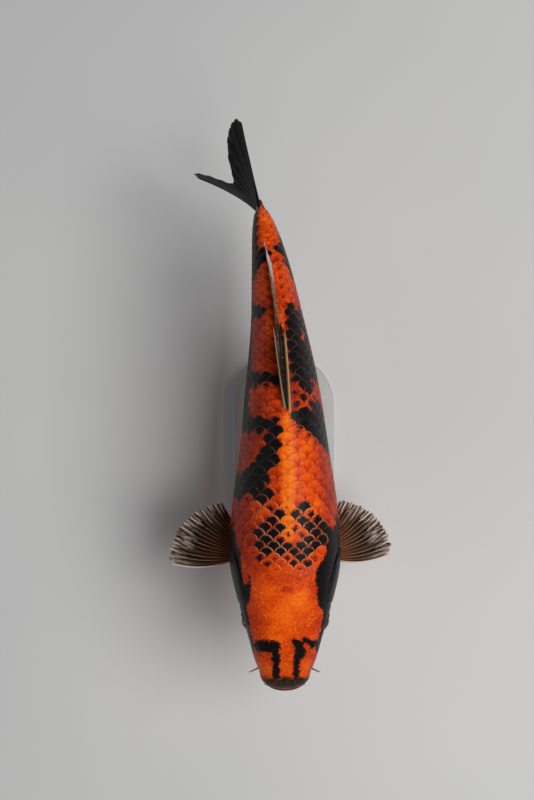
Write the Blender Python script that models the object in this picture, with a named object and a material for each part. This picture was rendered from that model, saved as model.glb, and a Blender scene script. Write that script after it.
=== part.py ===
"""Hi utsuri koi carp at life size, gliding level on a plain display stand.

Metres, +Z up. The fish swims towards -Y with its left side at +X, and its tail sweeps to its right (-X).
The origin is the middle of the stand's underside. Lengths below are in millimetres.
'along' runs from the snout to the tail base, and an angle round the body is 0 on the back, 90 on the
left flank, 180 under the belly and 270 on the right flank.
"""

import math

import bmesh
import bpy
from mathutils import Vector

MM = 0.001
GAP = 0.3  # between pieces that touch

# The body's driving dimensions.
BODY_LENGTH = 484.5  # snout to tail base
AXIS_HEIGHT = 152.0  # of the body's axis above the floor
ORIGIN_ALONG = 211.5  # the part of the body that stands over the origin
SNOUT_CAP = 16.0  # length of the blunt, rounded end of the snout
MOUTH_DROP = 7.0  # how far the snout's tip lies below the axis
MOUTH_DROP_END = 70.0
TAIL_SWING = 25.5  # how far the tail base lies to the fish's right
TAIL_SWING_START = 150.0
TAIL_SWING_POWER = 2.9
BODY_ROLL = 1.5  # degrees that the back leans to the fish's left

# Profiles as (along, size): half the width, the back above the axis, the belly below it, and the
# height of the widest line.
HALF_WIDTH = [
    (0, 24.0), (16, 25.0), (34, 31.0), (61, 38.0), (99, 48.5), (134, 55.0), (152, 56.0), (188, 53.0),
    (244, 45.0), (304, 37.5), (371, 27.0), (422, 20.0), (463, 12.5), (484.5, 5.0),
]  # fmt: skip
BACK = [
    (0, 15.0), (16, 21.0), (40, 34.0), (72, 46.0), (110, 56.0), (160, 65.0), (230, 70.5), (290, 68.0),
    (350, 57.0), (410, 42.0), (450, 33.5), (468, 31.5), (484.5, 33.0),
]  # fmt: skip
BELLY = [
    (0, 14.0), (16, 17.5), (40, 28.0), (72, 39.0), (110, 50.0), (160, 61.0), (215, 67.0), (275, 66.0),
    (340, 55.0), (400, 39.0), (445, 29.5), (468, 27.5), (484.5, 29.0),
]  # fmt: skip
WIDEST = [(0, 0.0), (40, 3.0), (72, 5.0), (110, 0.0), (160, -8.0), (275, -9.0), (400, -3.0), (484.5, 0.0)]
FULLNESS = [(0, 2.2), (60, 2.5), (120, 2.35), (200, 2.15), (400, 2.1), (484.5, 2.4)]  # 2 is an ellipse

# Where the body parts: the start and end of each length of it.
HEAD_END = 146.0
LENGTHS = {
    "trunk_front": (HEAD_END, 245.0),
    "trunk_middle": (245.0, 345.0),
    "trunk_rear": (345.0, 430.0),
    "tail_stalk": (430.0, BODY_LENGTH),
}
ROUND_STEPS = 36
STATION_STEP = 15.0
CAP_STEPS = 5

# Head pieces.
EYE_ALONG = 72.0
EYE_HEIGHT = 9.0
EYE_RADIUS = 8.0
EYE_STANDS_OUT = 3.0
GILL_CENTRE = (117.0, 90.0)  # along, angle
GILL_REACH = (27.5, 36.0)  # half its length, half its angle
GILL_SLANT = 14.0  # how much further forward its lowest point lies
GILL_DEPTH = 3.5
GILL_SQUARENESS = 2.5
JAW_LENGTH = 30.0
JAW_SLOPE = 24.0  # degrees that the mouth's line falls towards the cheek
BARBEL_RADIUS = 1.3
# Each pair's root as along and angle, its length, and which way it sets off: out, back and up.
BARBELS = {
    "rear": (24.0, 131.0, 23.0, (0.74, -0.60, -0.20)),
    "front": (4.5, 114.0, 12.0, (0.55, -0.25, -0.80)),
}

# Fins: thickness at root and margin, and how deep a root is sunk before the body is cut from it.
FIN_ROOT = 3.4
FIN_MARGIN = 1.0
FIN_SUNK = 5.0
RAY_STEPS = 9
PECTORAL_ROOT = ((131.0, 119.0), (144.0, 134.0))
PECTORAL_RAYS = (78.0, 50.0)  # lengths of the first ray and the last
PECTORAL_FAN = (0.0, 65.0)  # degrees back from straight out, first ray and last
PECTORAL_BOW = 6.5  # how far the first ray's middle lies ahead of its ends
PECTORAL_POSE = {"left": (0.0, 24.0), "right": (6.0, 8.0)}  # degrees turned forward, and drooping
PELVIC_ROOT = ((280.0, 152.0), (292.0, 163.0))
PELVIC_LENGTH = 56.0
DORSAL_BASE = (275.0, 421.0)
DORSAL_FRONT_RAY = 92.0
DORSAL_LEAN = 12.0  # degrees towards the fish's right
ANAL_BASE = (388.0, 414.0)
ANAL_FRONT_RAY = 50.0
# The tail fin. Its rays are longest at the lobes' edges and turn to the fish's right as they leave the
# stalk, the more so the lower they are.
CAUDAL_LOBES = {"upper": (91.0, 30.0), "lower": (94.0, -31.5)}  # edge ray's length, its pitch in degrees
CAUDAL_FORK = 35.0
CAUDAL_SUNK = 4.0
CAUDAL_TURN = (0.0, 52.0)  # degrees, of the uppermost ray and of the lowest
CAUDAL_TURN_POWER = 0.2  # the less it is, the nearer the stalk a ray turns

# The display stand.
BASE_LENGTH = 260.0
BASE_WIDTH = 110.0
BASE_THICKNESS = 12.0
BASE_EDGE = 2.0
ROD_RADIUS = 4.5
RODS = {"front": 155.0, "rear": 268.0}  # along

ORANGE = (0.80, 0.17, 0.02)
BLACK = (0.012, 0.011, 0.014)
FIN_GREY = (0.42, 0.33, 0.24)
EYE_DARK = (0.02, 0.018, 0.015)
STAND_WHITE = (0.75, 0.75, 0.73)
ROD_STEEL = (0.55, 0.56, 0.58)


def smooth(profile, at):
    """The profile's value there, on a curve through its points that never overshoots them."""
    if at <= profile[0][0]:
        return profile[0][1]
    if at >= profile[-1][0]:
        return profile[-1][1]
    i = max(k for k in range(len(profile) - 1) if profile[k][0] <= at)
    (x0, y0), (x1, y1) = profile[i], profile[i + 1]
    step = x1 - x0
    slope = (y1 - y0) / step

    def end_slope(k):
        if k in (0, len(profile) - 1):
            return slope
        before = (profile[k][1] - profile[k - 1][1]) / (profile[k][0] - profile[k - 1][0])
        after = (profile[k + 1][1] - profile[k][1]) / (profile[k + 1][0] - profile[k][0])
        return 0.0 if before * after <= 0 else 2 * before * after / (before + after)

    t = (at - x0) / step
    m0, m1 = end_slope(i) * step, end_slope(i + 1) * step
    return (
        y0 * (2 * t**3 - 3 * t**2 + 1) + m0 * (t**3 - 2 * t**2 + t)
        + y1 * (3 * t**2 - 2 * t**3) + m1 * (t**3 - t**2)
    )  # fmt: skip


def axis_point(along):
    """The body's axis: straight through the front half, then swinging to the fish's right."""
    tail = max(0.0, along - TAIL_SWING_START) / (BODY_LENGTH - TAIL_SWING_START)
    mouth = max(0.0, MOUTH_DROP_END - along) / MOUTH_DROP_END
    side = -TAIL_SWING * tail**TAIL_SWING_POWER
    return Vector((side, along - ORIGIN_ALONG, AXIS_HEIGHT - MOUTH_DROP * mouth**2))


def axis_directions(along):
    """The directions across the body, towards the fish's left, and up through its back."""
    forward = axis_point(along + 1) - axis_point(along - 1)
    side = Vector((forward.y, -forward.x, 0)).normalized()
    roll = math.radians(BODY_ROLL)
    up = Vector((0, 0, 1))
    return side * math.cos(roll) - up * math.sin(roll), side * math.sin(roll) + up * math.cos(roll)


def curved_power(value, power):
    return math.copysign(abs(value) ** power, value)


def body_point(along, angle, outset=0.0):
    """A point of the body's surface, or one that far outside it. angle is in degrees."""
    cap = 1.0
    if along < SNOUT_CAP:
        cap = math.sqrt(1 - (1 - max(along, 0.0) / SNOUT_CAP) ** 2)
    across = math.sin(math.radians(angle))
    up = math.cos(math.radians(angle))
    power = 2 / smooth(FULLNESS, along)
    level = smooth(WIDEST, along) * cap
    rise = smooth(BACK, along) * cap - level if up > 0 else smooth(BELLY, along) * cap + level
    width = smooth(HALF_WIDTH, along) * cap
    to_side, to_back = axis_directions(along)
    return (
        axis_point(along)
        + to_side * (width + outset) * curved_power(across, power)
        + to_back * (level + (rise + outset) * curved_power(up, power))
    )


def finish(obj, colour, roughness, metallic=0.0):
    """Gives a node its own plain material and smooth shading."""
    material = bpy.data.materials.new(obj.name)
    material.use_nodes = True
    shader = material.node_tree.nodes["Principled BSDF"]
    shader.inputs["Base Color"].default_value = (*colour, 1)
    shader.inputs["Roughness"].default_value = roughness
    shader.inputs["Metallic"].default_value = metallic
    obj.data.materials.append(material)
    if obj.type == "MESH":
        obj.data.shade_smooth()
        obj.data.set_sharp_from_angle(angle=math.radians(40))
    return obj


def new_object(name, rows, close_start, close_end, plate=False):
    """An object whose skin joins rings of points in millimetres; an end closes to a face, or to a point.

    A plate's ring runs out along one of its faces and back along the other, so its ends close as strips.
    """
    bm = bmesh.new()
    rings = [[bm.verts.new(p * MM) for p in row] for row in rows]
    for a, b in zip(rings, rings[1:]):
        count = max(len(a), len(b))
        for k in range(count):
            corners = [a[k % len(a)], a[(k + 1) % len(a)], b[(k + 1) % len(b)], b[k % len(b)]]
            bm.faces.new(list(dict.fromkeys(corners)))
    for ring in [rings[0]] * close_start + [rings[-1]] * close_end:
        if plate:
            for k in range(len(ring) // 2 - 1):
                bm.faces.new([ring[k], ring[k + 1], ring[-k - 2], ring[-k - 1]])
        else:
            bm.faces.new(ring)
    bmesh.ops.recalc_face_normals(bm, faces=bm.faces)
    mesh = bpy.data.meshes.new(name)
    bm.to_mesh(mesh)
    bm.free()
    obj = bpy.data.objects.new(name, mesh)
    bpy.context.scene.collection.objects.link(obj)
    return obj


def helper(obj):
    """A cutter, which is no piece of the fish."""
    obj.hide_render = True
    obj.display_type = "WIRE"
    return obj


def boolean(obj, other, operation="DIFFERENCE"):
    modifier = obj.modifiers.new(operation.title() + "_" + other.name, "BOOLEAN")
    modifier.operation = operation
    modifier.solver = "EXACT"
    modifier.object = other
    return obj


def stations(start, end):
    """Distances along the body for its rings: even steps, and closer ones round the snout."""
    first = []
    if start < SNOUT_CAP:
        turns = [math.pi / 2 * k / CAP_STEPS for k in range(CAP_STEPS)]
        first = [SNOUT_CAP * (1 - math.cos(turn)) for turn in turns]
        start = SNOUT_CAP
    steps = max(1, round((end - start) / STATION_STEP))
    return first + [start + (end - start) * k / steps for k in range(steps + 1)]


def body_length_solid(name, start, end, outset=0.0):
    """A closed length of the body, from one cut across it to the next."""
    angles = [360 * k / ROUND_STEPS for k in range(ROUND_STEPS)]
    rows = []
    for along in stations(start, end):
        if along == 0:
            rows.append([axis_point(0) - Vector((0, outset, 0))])
        else:
            rows.append([body_point(along, angle, outset) for angle in angles])
    return new_object(name, rows, close_start=start > 0, close_end=True)


def gill_patch(name, side, grow):
    """A thick, rounded patch of the head's side: cut from the head it leaves the gill cover's seat."""
    rim_steps = 28
    rows = []
    for outset, shares in ((-GILL_DEPTH - grow, (0, 0.4, 0.75, 1)), (8.0, (1, 0.6, 0))):
        for share in shares:
            row = []
            for k in range(rim_steps if share else 1):
                turn = 2 * math.pi * k / rim_steps
                u = curved_power(math.cos(turn), 2 / GILL_SQUARENESS) * share
                v = curved_power(math.sin(turn), 2 / GILL_SQUARENESS) * share
                along = GILL_CENTRE[0] + u * (GILL_REACH[0] + grow) - GILL_SLANT * max(0.0, v) ** 2
                angle = GILL_CENTRE[1] + v * (GILL_REACH[1] + grow)
                row.append(body_point(along, side * angle, outset))
            rows.append(row)
    return new_object(name, rows, close_start=False, close_end=False)


def jaw_block(name, grow):
    """A wedge under the mouth's line that parts the lower jaw from the head."""
    front = axis_point(0) + Vector((0, -8, 2.5))
    slope = math.radians(JAW_SLOPE)
    back = axis_point(JAW_LENGTH + grow)
    rows = []
    for along, depth in ((front.y, 0.0), (back.y, (back.y - front.y) * math.tan(slope))):
        top = front.z - depth + grow
        rows.append([
            Vector((front.x + x, along, z)) for x, z in ((-60, top), (60, top), (60, top - 90), (-60, top - 90))
        ])  # fmt: skip
    return new_object(name, rows, close_start=True, close_end=True)


def ball(name, centre, radius, rings=10, segments=16):
    rows = []
    for r in range(rings + 1):
        turn = math.pi * r / rings
        count = segments if 0 < r < rings else 1
        rows.append([
            centre + radius * Vector((
                math.cos(turn),
                math.sin(turn) * math.cos(2 * math.pi * k / segments),
                math.sin(turn) * math.sin(2 * math.pi * k / segments),
            ))
            for k in range(count)
        ])  # fmt: skip
    return new_object(name, rows, close_start=False, close_end=False)


def eye_centre(side):
    """Deep enough in the side of the head for the eyeball to stand out only a little."""
    angle = 90.0
    while body_point(EYE_ALONG, angle).z < AXIS_HEIGHT + EYE_HEIGHT:
        angle -= 1.0
    surface = body_point(EYE_ALONG, side * angle)
    return surface - Vector((side * (EYE_RADIUS - EYE_STANDS_OUT), 0, 0))


def make_head():
    """The head, with its gill covers, lower jaw and eyes parted from it."""
    head = body_length_solid("head", 0.0, HEAD_END - GAP / 2)
    jaw = body_length_solid("lower_jaw", 0.0, HEAD_END - 60)
    boolean(head, helper(jaw_block("jaw_seat", GAP)))
    boolean(jaw, helper(jaw_block("jaw_shape", 0.0)), "INTERSECT")
    finish(jaw, ORANGE, 0.35)
    for word, side in (("left", 1), ("right", -1)):
        cover = body_length_solid(f"gill_cover_{word}", 60.0, HEAD_END - GAP / 2)
        boolean(cover, helper(gill_patch(f"gill_shape_{word}", side, 0.0)), "INTERSECT")
        boolean(head, helper(gill_patch(f"gill_seat_{word}", side, GAP)))
        finish(cover, ORANGE, 0.35)
        eye = ball(f"eye_{word}", eye_centre(side), EYE_RADIUS)
        boolean(head, helper(ball(f"eye_socket_{word}", eye_centre(side), EYE_RADIUS + GAP)))
        finish(eye, EYE_DARK, 0.08)
    return finish(head, ORANGE, 0.35)


def make_barbels(body_cutter):
    """Two pairs of feelers, at the corners of the mouth and on the snout's sides above them."""
    for place, (along, angle, length, (out, back, up)) in BARBELS.items():
        for word, side in (("left", 1), ("right", -1)):
            heading = Vector((side * out, back, up))
            root = body_point(along, side * angle) - 3.0 * heading
            rows = []
            for k in range(7):
                t = k / 6
                centre = root + length * (heading * t + Vector((0, 0.12, -0.22)) * t**2)
                radius = BARBEL_RADIUS * (1 - 0.55 * t)
                rows.append([
                    centre + radius * Vector((0, math.cos(turn), math.sin(turn)))
                    for turn in (2 * math.pi * m / 8 for m in range(8))
                ])  # fmt: skip
            barbel = new_object(f"barbel_{place}_{word}", rows, close_start=True, close_end=True)
            finish(boolean(barbel, body_cutter), ORANGE, 0.4)


def fin_solid(name, rays, root_thickness=FIN_ROOT):
    """A closed plate over rays of points, from its thick root to its thin margin."""
    steps = len(rays[0]) - 1
    faces = ([], [])
    for i, ray in enumerate(rays):
        before, after = rays[max(i - 1, 0)], rays[min(i + 1, len(rays) - 1)]
        for row in faces:
            row.append([])
        for j, point in enumerate(ray):
            outward = ray[min(j + 1, steps)] - ray[max(j - 1, 0)]
            normal = outward.cross(after[j] - before[j]).normalized()
            share = j / steps
            half = (root_thickness + (FIN_MARGIN - root_thickness) * share**0.6) / 2
            faces[0][-1].append(point + normal * half)
            faces[1][-1].append(point - normal * half)
    rows = [front + list(reversed(back)) for front, back in zip(*faces)]
    return new_object(name, rows, close_start=True, close_end=True, plate=True)


def bow(t, amount):
    """How far a ray stands off the line through its ends, part of the way along it."""
    return amount * 4 * t * (1 - t)


def pectoral_rays(word, side):
    """A fan spread out from behind the gill cover, nearly level."""
    forward, droop = PECTORAL_POSE[word]
    rays = []
    for i in range(13):
        k = i / 12
        (along0, angle0), (along1, angle1) = PECTORAL_ROOT
        along, angle = along0 + (along1 - along0) * k, angle0 + (angle1 - angle0) * k
        root = body_point(along, side * angle, -FIN_SUNK)
        fan = math.radians(PECTORAL_FAN[0] + (PECTORAL_FAN[1] - PECTORAL_FAN[0]) * k - forward)
        fall = math.radians(droop * (1 - 0.35 * k))
        first, last = PECTORAL_RAYS
        length = first - (first - last) * k**1.5 - 5.0 * math.exp(-10 * k)
        heading = Vector((
            side * math.cos(fan) * math.cos(fall), math.sin(fan) * math.cos(fall), -math.sin(fall),
        ))  # fmt: skip
        ahead, up = Vector((0, -1, 0)), Vector((0, 0, 1))
        rays.append([
            root + heading * length * t + ahead * bow(t, PECTORAL_BOW * (1 - k)) + up * bow(t, 4.0)
            for t in (j / RAY_STEPS for j in range(RAY_STEPS + 1))
        ])  # fmt: skip
    return rays


def pelvic_rays(side):
    """A smaller fan under the belly, held back and a little down."""
    rays = []
    for i in range(10):
        k = i / 9
        (along0, angle0), (along1, angle1) = PELVIC_ROOT
        along, angle = along0 + (along1 - along0) * k, angle0 + (angle1 - angle0) * k
        root = body_point(along, side * angle, -FIN_SUNK)
        fan = math.radians(20 - 22 * k)
        fall = math.radians(36 - 12 * k)
        length = PELVIC_LENGTH * (0.94 + 0.3 * k - 0.62 * k**2)
        heading = Vector((
            side * math.sin(fan) * math.cos(fall), math.cos(fan) * math.cos(fall), -math.sin(fall),
        ))  # fmt: skip
        rays.append([root + heading * length * j / RAY_STEPS for j in range(RAY_STEPS + 1)])
    return rays


def dorsal_rays():
    """Half folded: the first ray is by far the longest, and the fin leans to the fish's right."""
    lean = math.radians(DORSAL_LEAN)
    rays = []
    for i in range(17):
        k = i / 16
        along = DORSAL_BASE[0] + (DORSAL_BASE[1] - DORSAL_BASE[0]) * k
        root = body_point(along, 0, -FIN_SUNK)
        ahead = (body_point(along + 1, 0) - body_point(along - 1, 0)).normalized()
        length = FIN_SUNK + 27.0 + (DORSAL_FRONT_RAY - 27.0) * math.exp(-6.0 * k) * (1 - k)
        pitch = math.radians(27 + 10 * k)
        rise = Vector((-math.sin(lean), 0, math.cos(lean)))
        heading = ahead * math.cos(pitch) + rise * math.sin(pitch)
        rays.append([
            root + heading * length * t + rise * bow(t, 2.5)
            for t in (j / RAY_STEPS for j in range(RAY_STEPS + 1))
        ])  # fmt: skip
    return rays


def anal_rays():
    rays = []
    for i in range(7):
        k = i / 6
        along = ANAL_BASE[0] + (ANAL_BASE[1] - ANAL_BASE[0]) * k
        root = body_point(along, 180, -FIN_SUNK)
        ahead = (body_point(along + 1, 180) - body_point(along - 1, 180)).normalized()
        length = FIN_SUNK + ANAL_FRONT_RAY * (1 - 0.62 * k + 0.12 * k**2)
        pitch = math.radians(48 - 14 * k)
        heading = (ahead * math.cos(pitch) + Vector((-0.05, 0, -math.sin(pitch)))).normalized()
        rays.append([root + heading * length * j / RAY_STEPS for j in range(RAY_STEPS + 1)])
    return rays


def caudal_rays(lobe, count=10):
    """One lobe of the tail fin, from the ray by the fork to the ray at its edge."""
    lobe_length, lobe_pitch = CAUDAL_LOBES[lobe]
    base = axis_point(BODY_LENGTH)
    ahead = TAIL_SWING_POWER * TAIL_SWING / (BODY_LENGTH - TAIL_SWING_START)
    up = 1 if lobe == "upper" else -1
    depth = smooth(BACK if lobe == "upper" else BELLY, BODY_LENGTH) - 2.5
    rays = []
    for i in range(count):
        share = i / (count - 1) * 0.994 + 0.006
        point = base + Vector((0, -CAUDAL_SUNK, up * share * depth))
        length = CAUDAL_FORK + (lobe_length - CAUDAL_FORK) * share**2 * (3 - 2 * share) + CAUDAL_SUNK
        pitch = math.radians(lobe_pitch * share)
        lowness = math.sin(math.pi / 4 * (1 - up * share))
        turn = math.radians(CAUDAL_TURN[0] + (CAUDAL_TURN[1] - CAUDAL_TURN[0]) * lowness)
        ray = [point]
        for j in range(RAY_STEPS):
            yaw = math.atan(ahead) + turn * ((j + 0.5) / RAY_STEPS) ** CAUDAL_TURN_POWER
            heading = Vector((
                -math.sin(yaw) * math.cos(pitch), math.cos(yaw) * math.cos(pitch), math.sin(pitch),
            ))  # fmt: skip
            point = point + heading * length / RAY_STEPS
            ray.append(point)
        rays.append(ray)
    return rays


def make_fins(body_cutter):
    plates = {"dorsal_fin": dorsal_rays(), "anal_fin": anal_rays()}
    for word, side in (("left", 1), ("right", -1)):
        plates[f"pectoral_fin_{word}"] = pectoral_rays(word, side)
        plates[f"pelvic_fin_{word}"] = pelvic_rays(side)
    for lobe in CAUDAL_LOBES:
        plates[f"caudal_fin_{lobe}"] = caudal_rays(lobe)
    for name, rays in plates.items():
        fin = boolean(fin_solid(name, rays), body_cutter)
        finish(fin, BLACK if name.startswith("caudal") else FIN_GREY, 0.45)


def stadium(length, width, height, steps=10):
    """One ring of a base with round ends, its long side along Y."""
    radius = width / 2
    ring = []
    for middle, start in ((length / 2 - radius, 0.0), (radius - length / 2, math.pi)):
        for k in range(steps + 1):
            turn = start + math.pi * k / steps
            ring.append(Vector((radius * math.cos(turn), middle + radius * math.sin(turn), height)))
    return ring


def make_stand():
    """A flat base with two short rods that end just under the belly."""
    rows = [
        stadium(BASE_LENGTH - 2 * cut, BASE_WIDTH - 2 * cut, height)
        for cut, height in (
            (BASE_EDGE / 2, 0.0),
            (0.0, BASE_EDGE / 2),
            (0.0, BASE_THICKNESS - BASE_EDGE),
            (BASE_EDGE, BASE_THICKNESS),
        )
    ]
    base = new_object("stand_base", rows, close_start=True, close_end=True)
    finish(base, STAND_WHITE, 0.4)
    for word, along in RODS.items():
        foot = axis_point(along)
        foot.z = BASE_THICKNESS + GAP
        top = body_point(along, 180).z - GAP
        rows = []
        for height in (foot.z, top):
            rows.append([
                Vector((foot.x + ROD_RADIUS * math.cos(turn), foot.y + ROD_RADIUS * math.sin(turn), height))
                for turn in (2 * math.pi * k / 16 for k in range(16))
            ])  # fmt: skip
        rod = new_object(f"stand_rod_{word}", rows, close_start=True, close_end=True)
        rod_cutter = bpy.data.objects["body_outline"]
        finish(boolean(rod, rod_cutter), ROD_STEEL, 0.25, 1.0)


def main():
    for obj in list(bpy.data.objects):
        bpy.data.objects.remove(obj)
    outline = helper(body_length_solid("body_outline", 0.0, BODY_LENGTH, GAP))
    make_head()
    for name, (start, end) in LENGTHS.items():
        last = end == BODY_LENGTH
        finish(body_length_solid(name, start + GAP / 2, end - (0 if last else GAP / 2)), ORANGE, 0.35)
    make_barbels(outline)
    make_fins(outline)
    make_stand()


main()
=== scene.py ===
"""A life-size hi utsuri koi, the orange and black show carp, gliding level over its display stand.

Lengths are in millimetres until a mesh is made. 'along' runs from the snout to the tail base, 'angle' is
0 on the back, 90 on the left flank and 180 under the belly, and 'arc' is the way round the body from the
back's ridge, positive on the fish's left. The fish swims towards -Y with its left side at +X.
"""

import math

import bpy
import numpy as np
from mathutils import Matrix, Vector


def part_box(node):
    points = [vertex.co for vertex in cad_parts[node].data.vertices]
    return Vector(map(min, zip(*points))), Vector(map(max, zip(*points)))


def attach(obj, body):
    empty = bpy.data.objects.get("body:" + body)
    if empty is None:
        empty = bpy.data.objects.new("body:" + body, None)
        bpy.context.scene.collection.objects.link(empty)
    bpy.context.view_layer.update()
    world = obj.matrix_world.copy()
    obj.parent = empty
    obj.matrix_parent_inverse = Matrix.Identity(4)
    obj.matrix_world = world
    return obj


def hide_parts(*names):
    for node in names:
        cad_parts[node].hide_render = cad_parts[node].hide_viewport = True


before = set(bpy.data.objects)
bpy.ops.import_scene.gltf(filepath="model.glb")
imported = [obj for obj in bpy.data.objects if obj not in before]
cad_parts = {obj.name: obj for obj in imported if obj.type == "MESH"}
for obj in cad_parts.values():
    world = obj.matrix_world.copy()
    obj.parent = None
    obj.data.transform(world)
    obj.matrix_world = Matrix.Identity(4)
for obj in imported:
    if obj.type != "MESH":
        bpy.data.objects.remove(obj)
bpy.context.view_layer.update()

# ---- The skin --------------------------------------------------------------------------------------
# One unbroken skin over head, trunk and tail stalk, from the lips to the tail fin. It is bare on the head,
# where it folds round lips, nostrils, eyes and gill covers, and from the nape back it lies a scale's depth
# further in. The body's form and its markings come first, because every other piece follows them.
MM = 0.001

# The form: blunt at the snout, deepest ahead of the back fin, and swinging to the fish's right at the tail.
BODY_LENGTH = 484.5
AXIS_HEIGHT = 152.0
ORIGIN_ALONG = 211.5
SNOUT_CAP = 16.0
MOUTH_DROP = 7.0
MOUTH_DROP_END = 70.0
TAIL_SWING = 25.5
TAIL_SWING_START = 150.0
TAIL_SWING_POWER = 2.9
BODY_ROLL = math.radians(1.5)
HALF_WIDTH = [
    (0, 24.0), (16, 25.0), (34, 31.0), (61, 38.0), (99, 48.5), (134, 55.0), (152, 56.0), (188, 53.0),
    (244, 45.0), (304, 37.5), (371, 27.0), (422, 20.0), (463, 12.5), (484.5, 5.0),
]
BACK = [
    (0, 15.0), (16, 21.0), (40, 34.0), (72, 46.0), (110, 56.0), (160, 65.0), (230, 70.5), (290, 68.0),
    (350, 57.0), (410, 42.0), (450, 33.5), (468, 31.5), (484.5, 33.0),
]
BELLY = [
    (0, 14.0), (16, 17.5), (40, 28.0), (72, 39.0), (110, 50.0), (160, 61.0), (215, 67.0), (275, 66.0),
    (340, 55.0), (400, 39.0), (445, 29.5), (468, 27.5), (484.5, 29.0),
]
WIDEST = [(0, 0.0), (40, 3.0), (72, 5.0), (110, 0.0), (160, -8.0), (275, -9.0), (400, -3.0), (484.5, 0.0)]
FULLNESS = [(0, 2.2), (60, 2.5), (120, 2.35), (200, 2.15), (400, 2.1), (484.5, 2.4)]
FORM_STEP = 2.0


def curve(profile, at):
    """The profile's value there, on a curve through its points that never overshoots them."""
    xs, ys = np.array(profile, float).T
    steps = np.diff(xs)
    slopes = np.diff(ys) / steps
    before, after = slopes[:-1], slopes[1:]
    level = before * after <= 0
    inner = np.where(level, 0.0, 2 * before * after / np.where(level, 1.0, before + after))
    bends = np.concatenate([slopes[:1], inner, slopes[-1:]])
    at = np.clip(at, xs[0], xs[-1])
    i = np.clip(np.searchsorted(xs, at, side="right") - 1, 0, len(steps) - 1)
    t = (at - xs[i]) / steps[i]
    return (
        ys[i] * (2 * t**3 - 3 * t**2 + 1) + bends[i] * steps[i] * (t**3 - 2 * t**2 + t)
        + ys[i + 1] * (3 * t**2 - 2 * t**3) + bends[i + 1] * steps[i] * (t**3 - t**2)
    )


def ease(value, start, end):
    """0 up to the start, 1 from the end on, and an even rise between them."""
    t = np.clip((value - start) / (end - start), 0.0, 1.0)
    return t * t * (3 - 2 * t)


def hump(value, middle, reach):
    """A rounded hump of height 1, or a hollow if it is taken away."""
    return np.exp(-(((value - middle) / reach) ** 2))


def unit(vectors):
    return vectors / np.maximum(np.linalg.norm(vectors, axis=-1, keepdims=True), 1e-9)


def axis(along):
    """The body's middle line."""
    tail = np.maximum(0.0, along - TAIL_SWING_START) / (BODY_LENGTH - TAIL_SWING_START)
    mouth = np.maximum(0.0, MOUTH_DROP_END - along) / MOUTH_DROP_END
    return np.stack([
        -TAIL_SWING * tail**TAIL_SWING_POWER, along - ORIGIN_ALONG, AXIS_HEIGHT - MOUTH_DROP * mouth**2,
    ], axis=-1)


def axis_directions(along):
    """The directions across the body, towards the fish's left, and up through its back."""
    forward = axis(along + 1) - axis(along - 1)
    side = unit(np.stack([forward[..., 1], -forward[..., 0], 0 * along], axis=-1))
    up = np.array([0.0, 0.0, 1.0])
    lean, stand = math.sin(BODY_ROLL), math.cos(BODY_ROLL)
    return side * stand - up * lean, side * lean + up * stand


def body(along, angle, outset=0.0):
    """Points of the body's surface, or that far outside it."""
    along, angle = np.broadcast_arrays(np.asarray(along, float), np.asarray(angle, float))
    front = np.clip(1 - np.maximum(along, 0.0) / SNOUT_CAP, 0.0, 1.0)
    cap = np.sqrt(1 - front**2)
    across, up = np.sin(np.radians(angle)), np.cos(np.radians(angle))
    power = 2 / curve(FULLNESS, along)
    level = curve(WIDEST, along) * cap
    rise = np.where(up > 0, curve(BACK, along) * cap - level, curve(BELLY, along) * cap + level)
    width = curve(HALF_WIDTH, along) * cap
    to_side, to_back = axis_directions(along)
    sideways = (width + outset) * np.sign(across) * np.abs(across) ** power
    upwards = level + (rise + outset) * np.sign(up) * np.abs(up) ** power
    return axis(along) + to_side * sideways[..., None] + to_back * upwards[..., None]


# How far round the body each angle lies, measured once on a fine net of the form.
FORM_ALONG = np.arange(0.0, BODY_LENGTH + FORM_STEP, FORM_STEP)
FORM_ANGLE = np.arange(0.0, 180.0 + FORM_STEP / 2, FORM_STEP)
form_steps = np.linalg.norm(np.diff(body(FORM_ALONG[:, None], FORM_ANGLE[None, :]), axis=1), axis=-1)
ARCS = np.concatenate([np.zeros((len(FORM_ALONG), 1)), np.cumsum(form_steps, axis=1)], axis=1)


def arc_at(along, angle):
    """The way round from the ridge to that angle, which may be of either side."""
    row = np.clip(np.asarray(along, float) / FORM_STEP, 0, len(FORM_ALONG) - 1.001)
    column = np.clip(np.abs(angle) / FORM_STEP, 0, len(FORM_ANGLE) - 1.001)
    r, c = np.floor(row).astype(int), np.floor(column).astype(int)
    near = ARCS[r, c] + (ARCS[r, c + 1] - ARCS[r, c]) * (column - c)
    far = ARCS[r + 1, c] + (ARCS[r + 1, c + 1] - ARCS[r + 1, c]) * (column - c)
    return np.sign(angle) * (near + (far - near) * (row - r))


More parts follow.
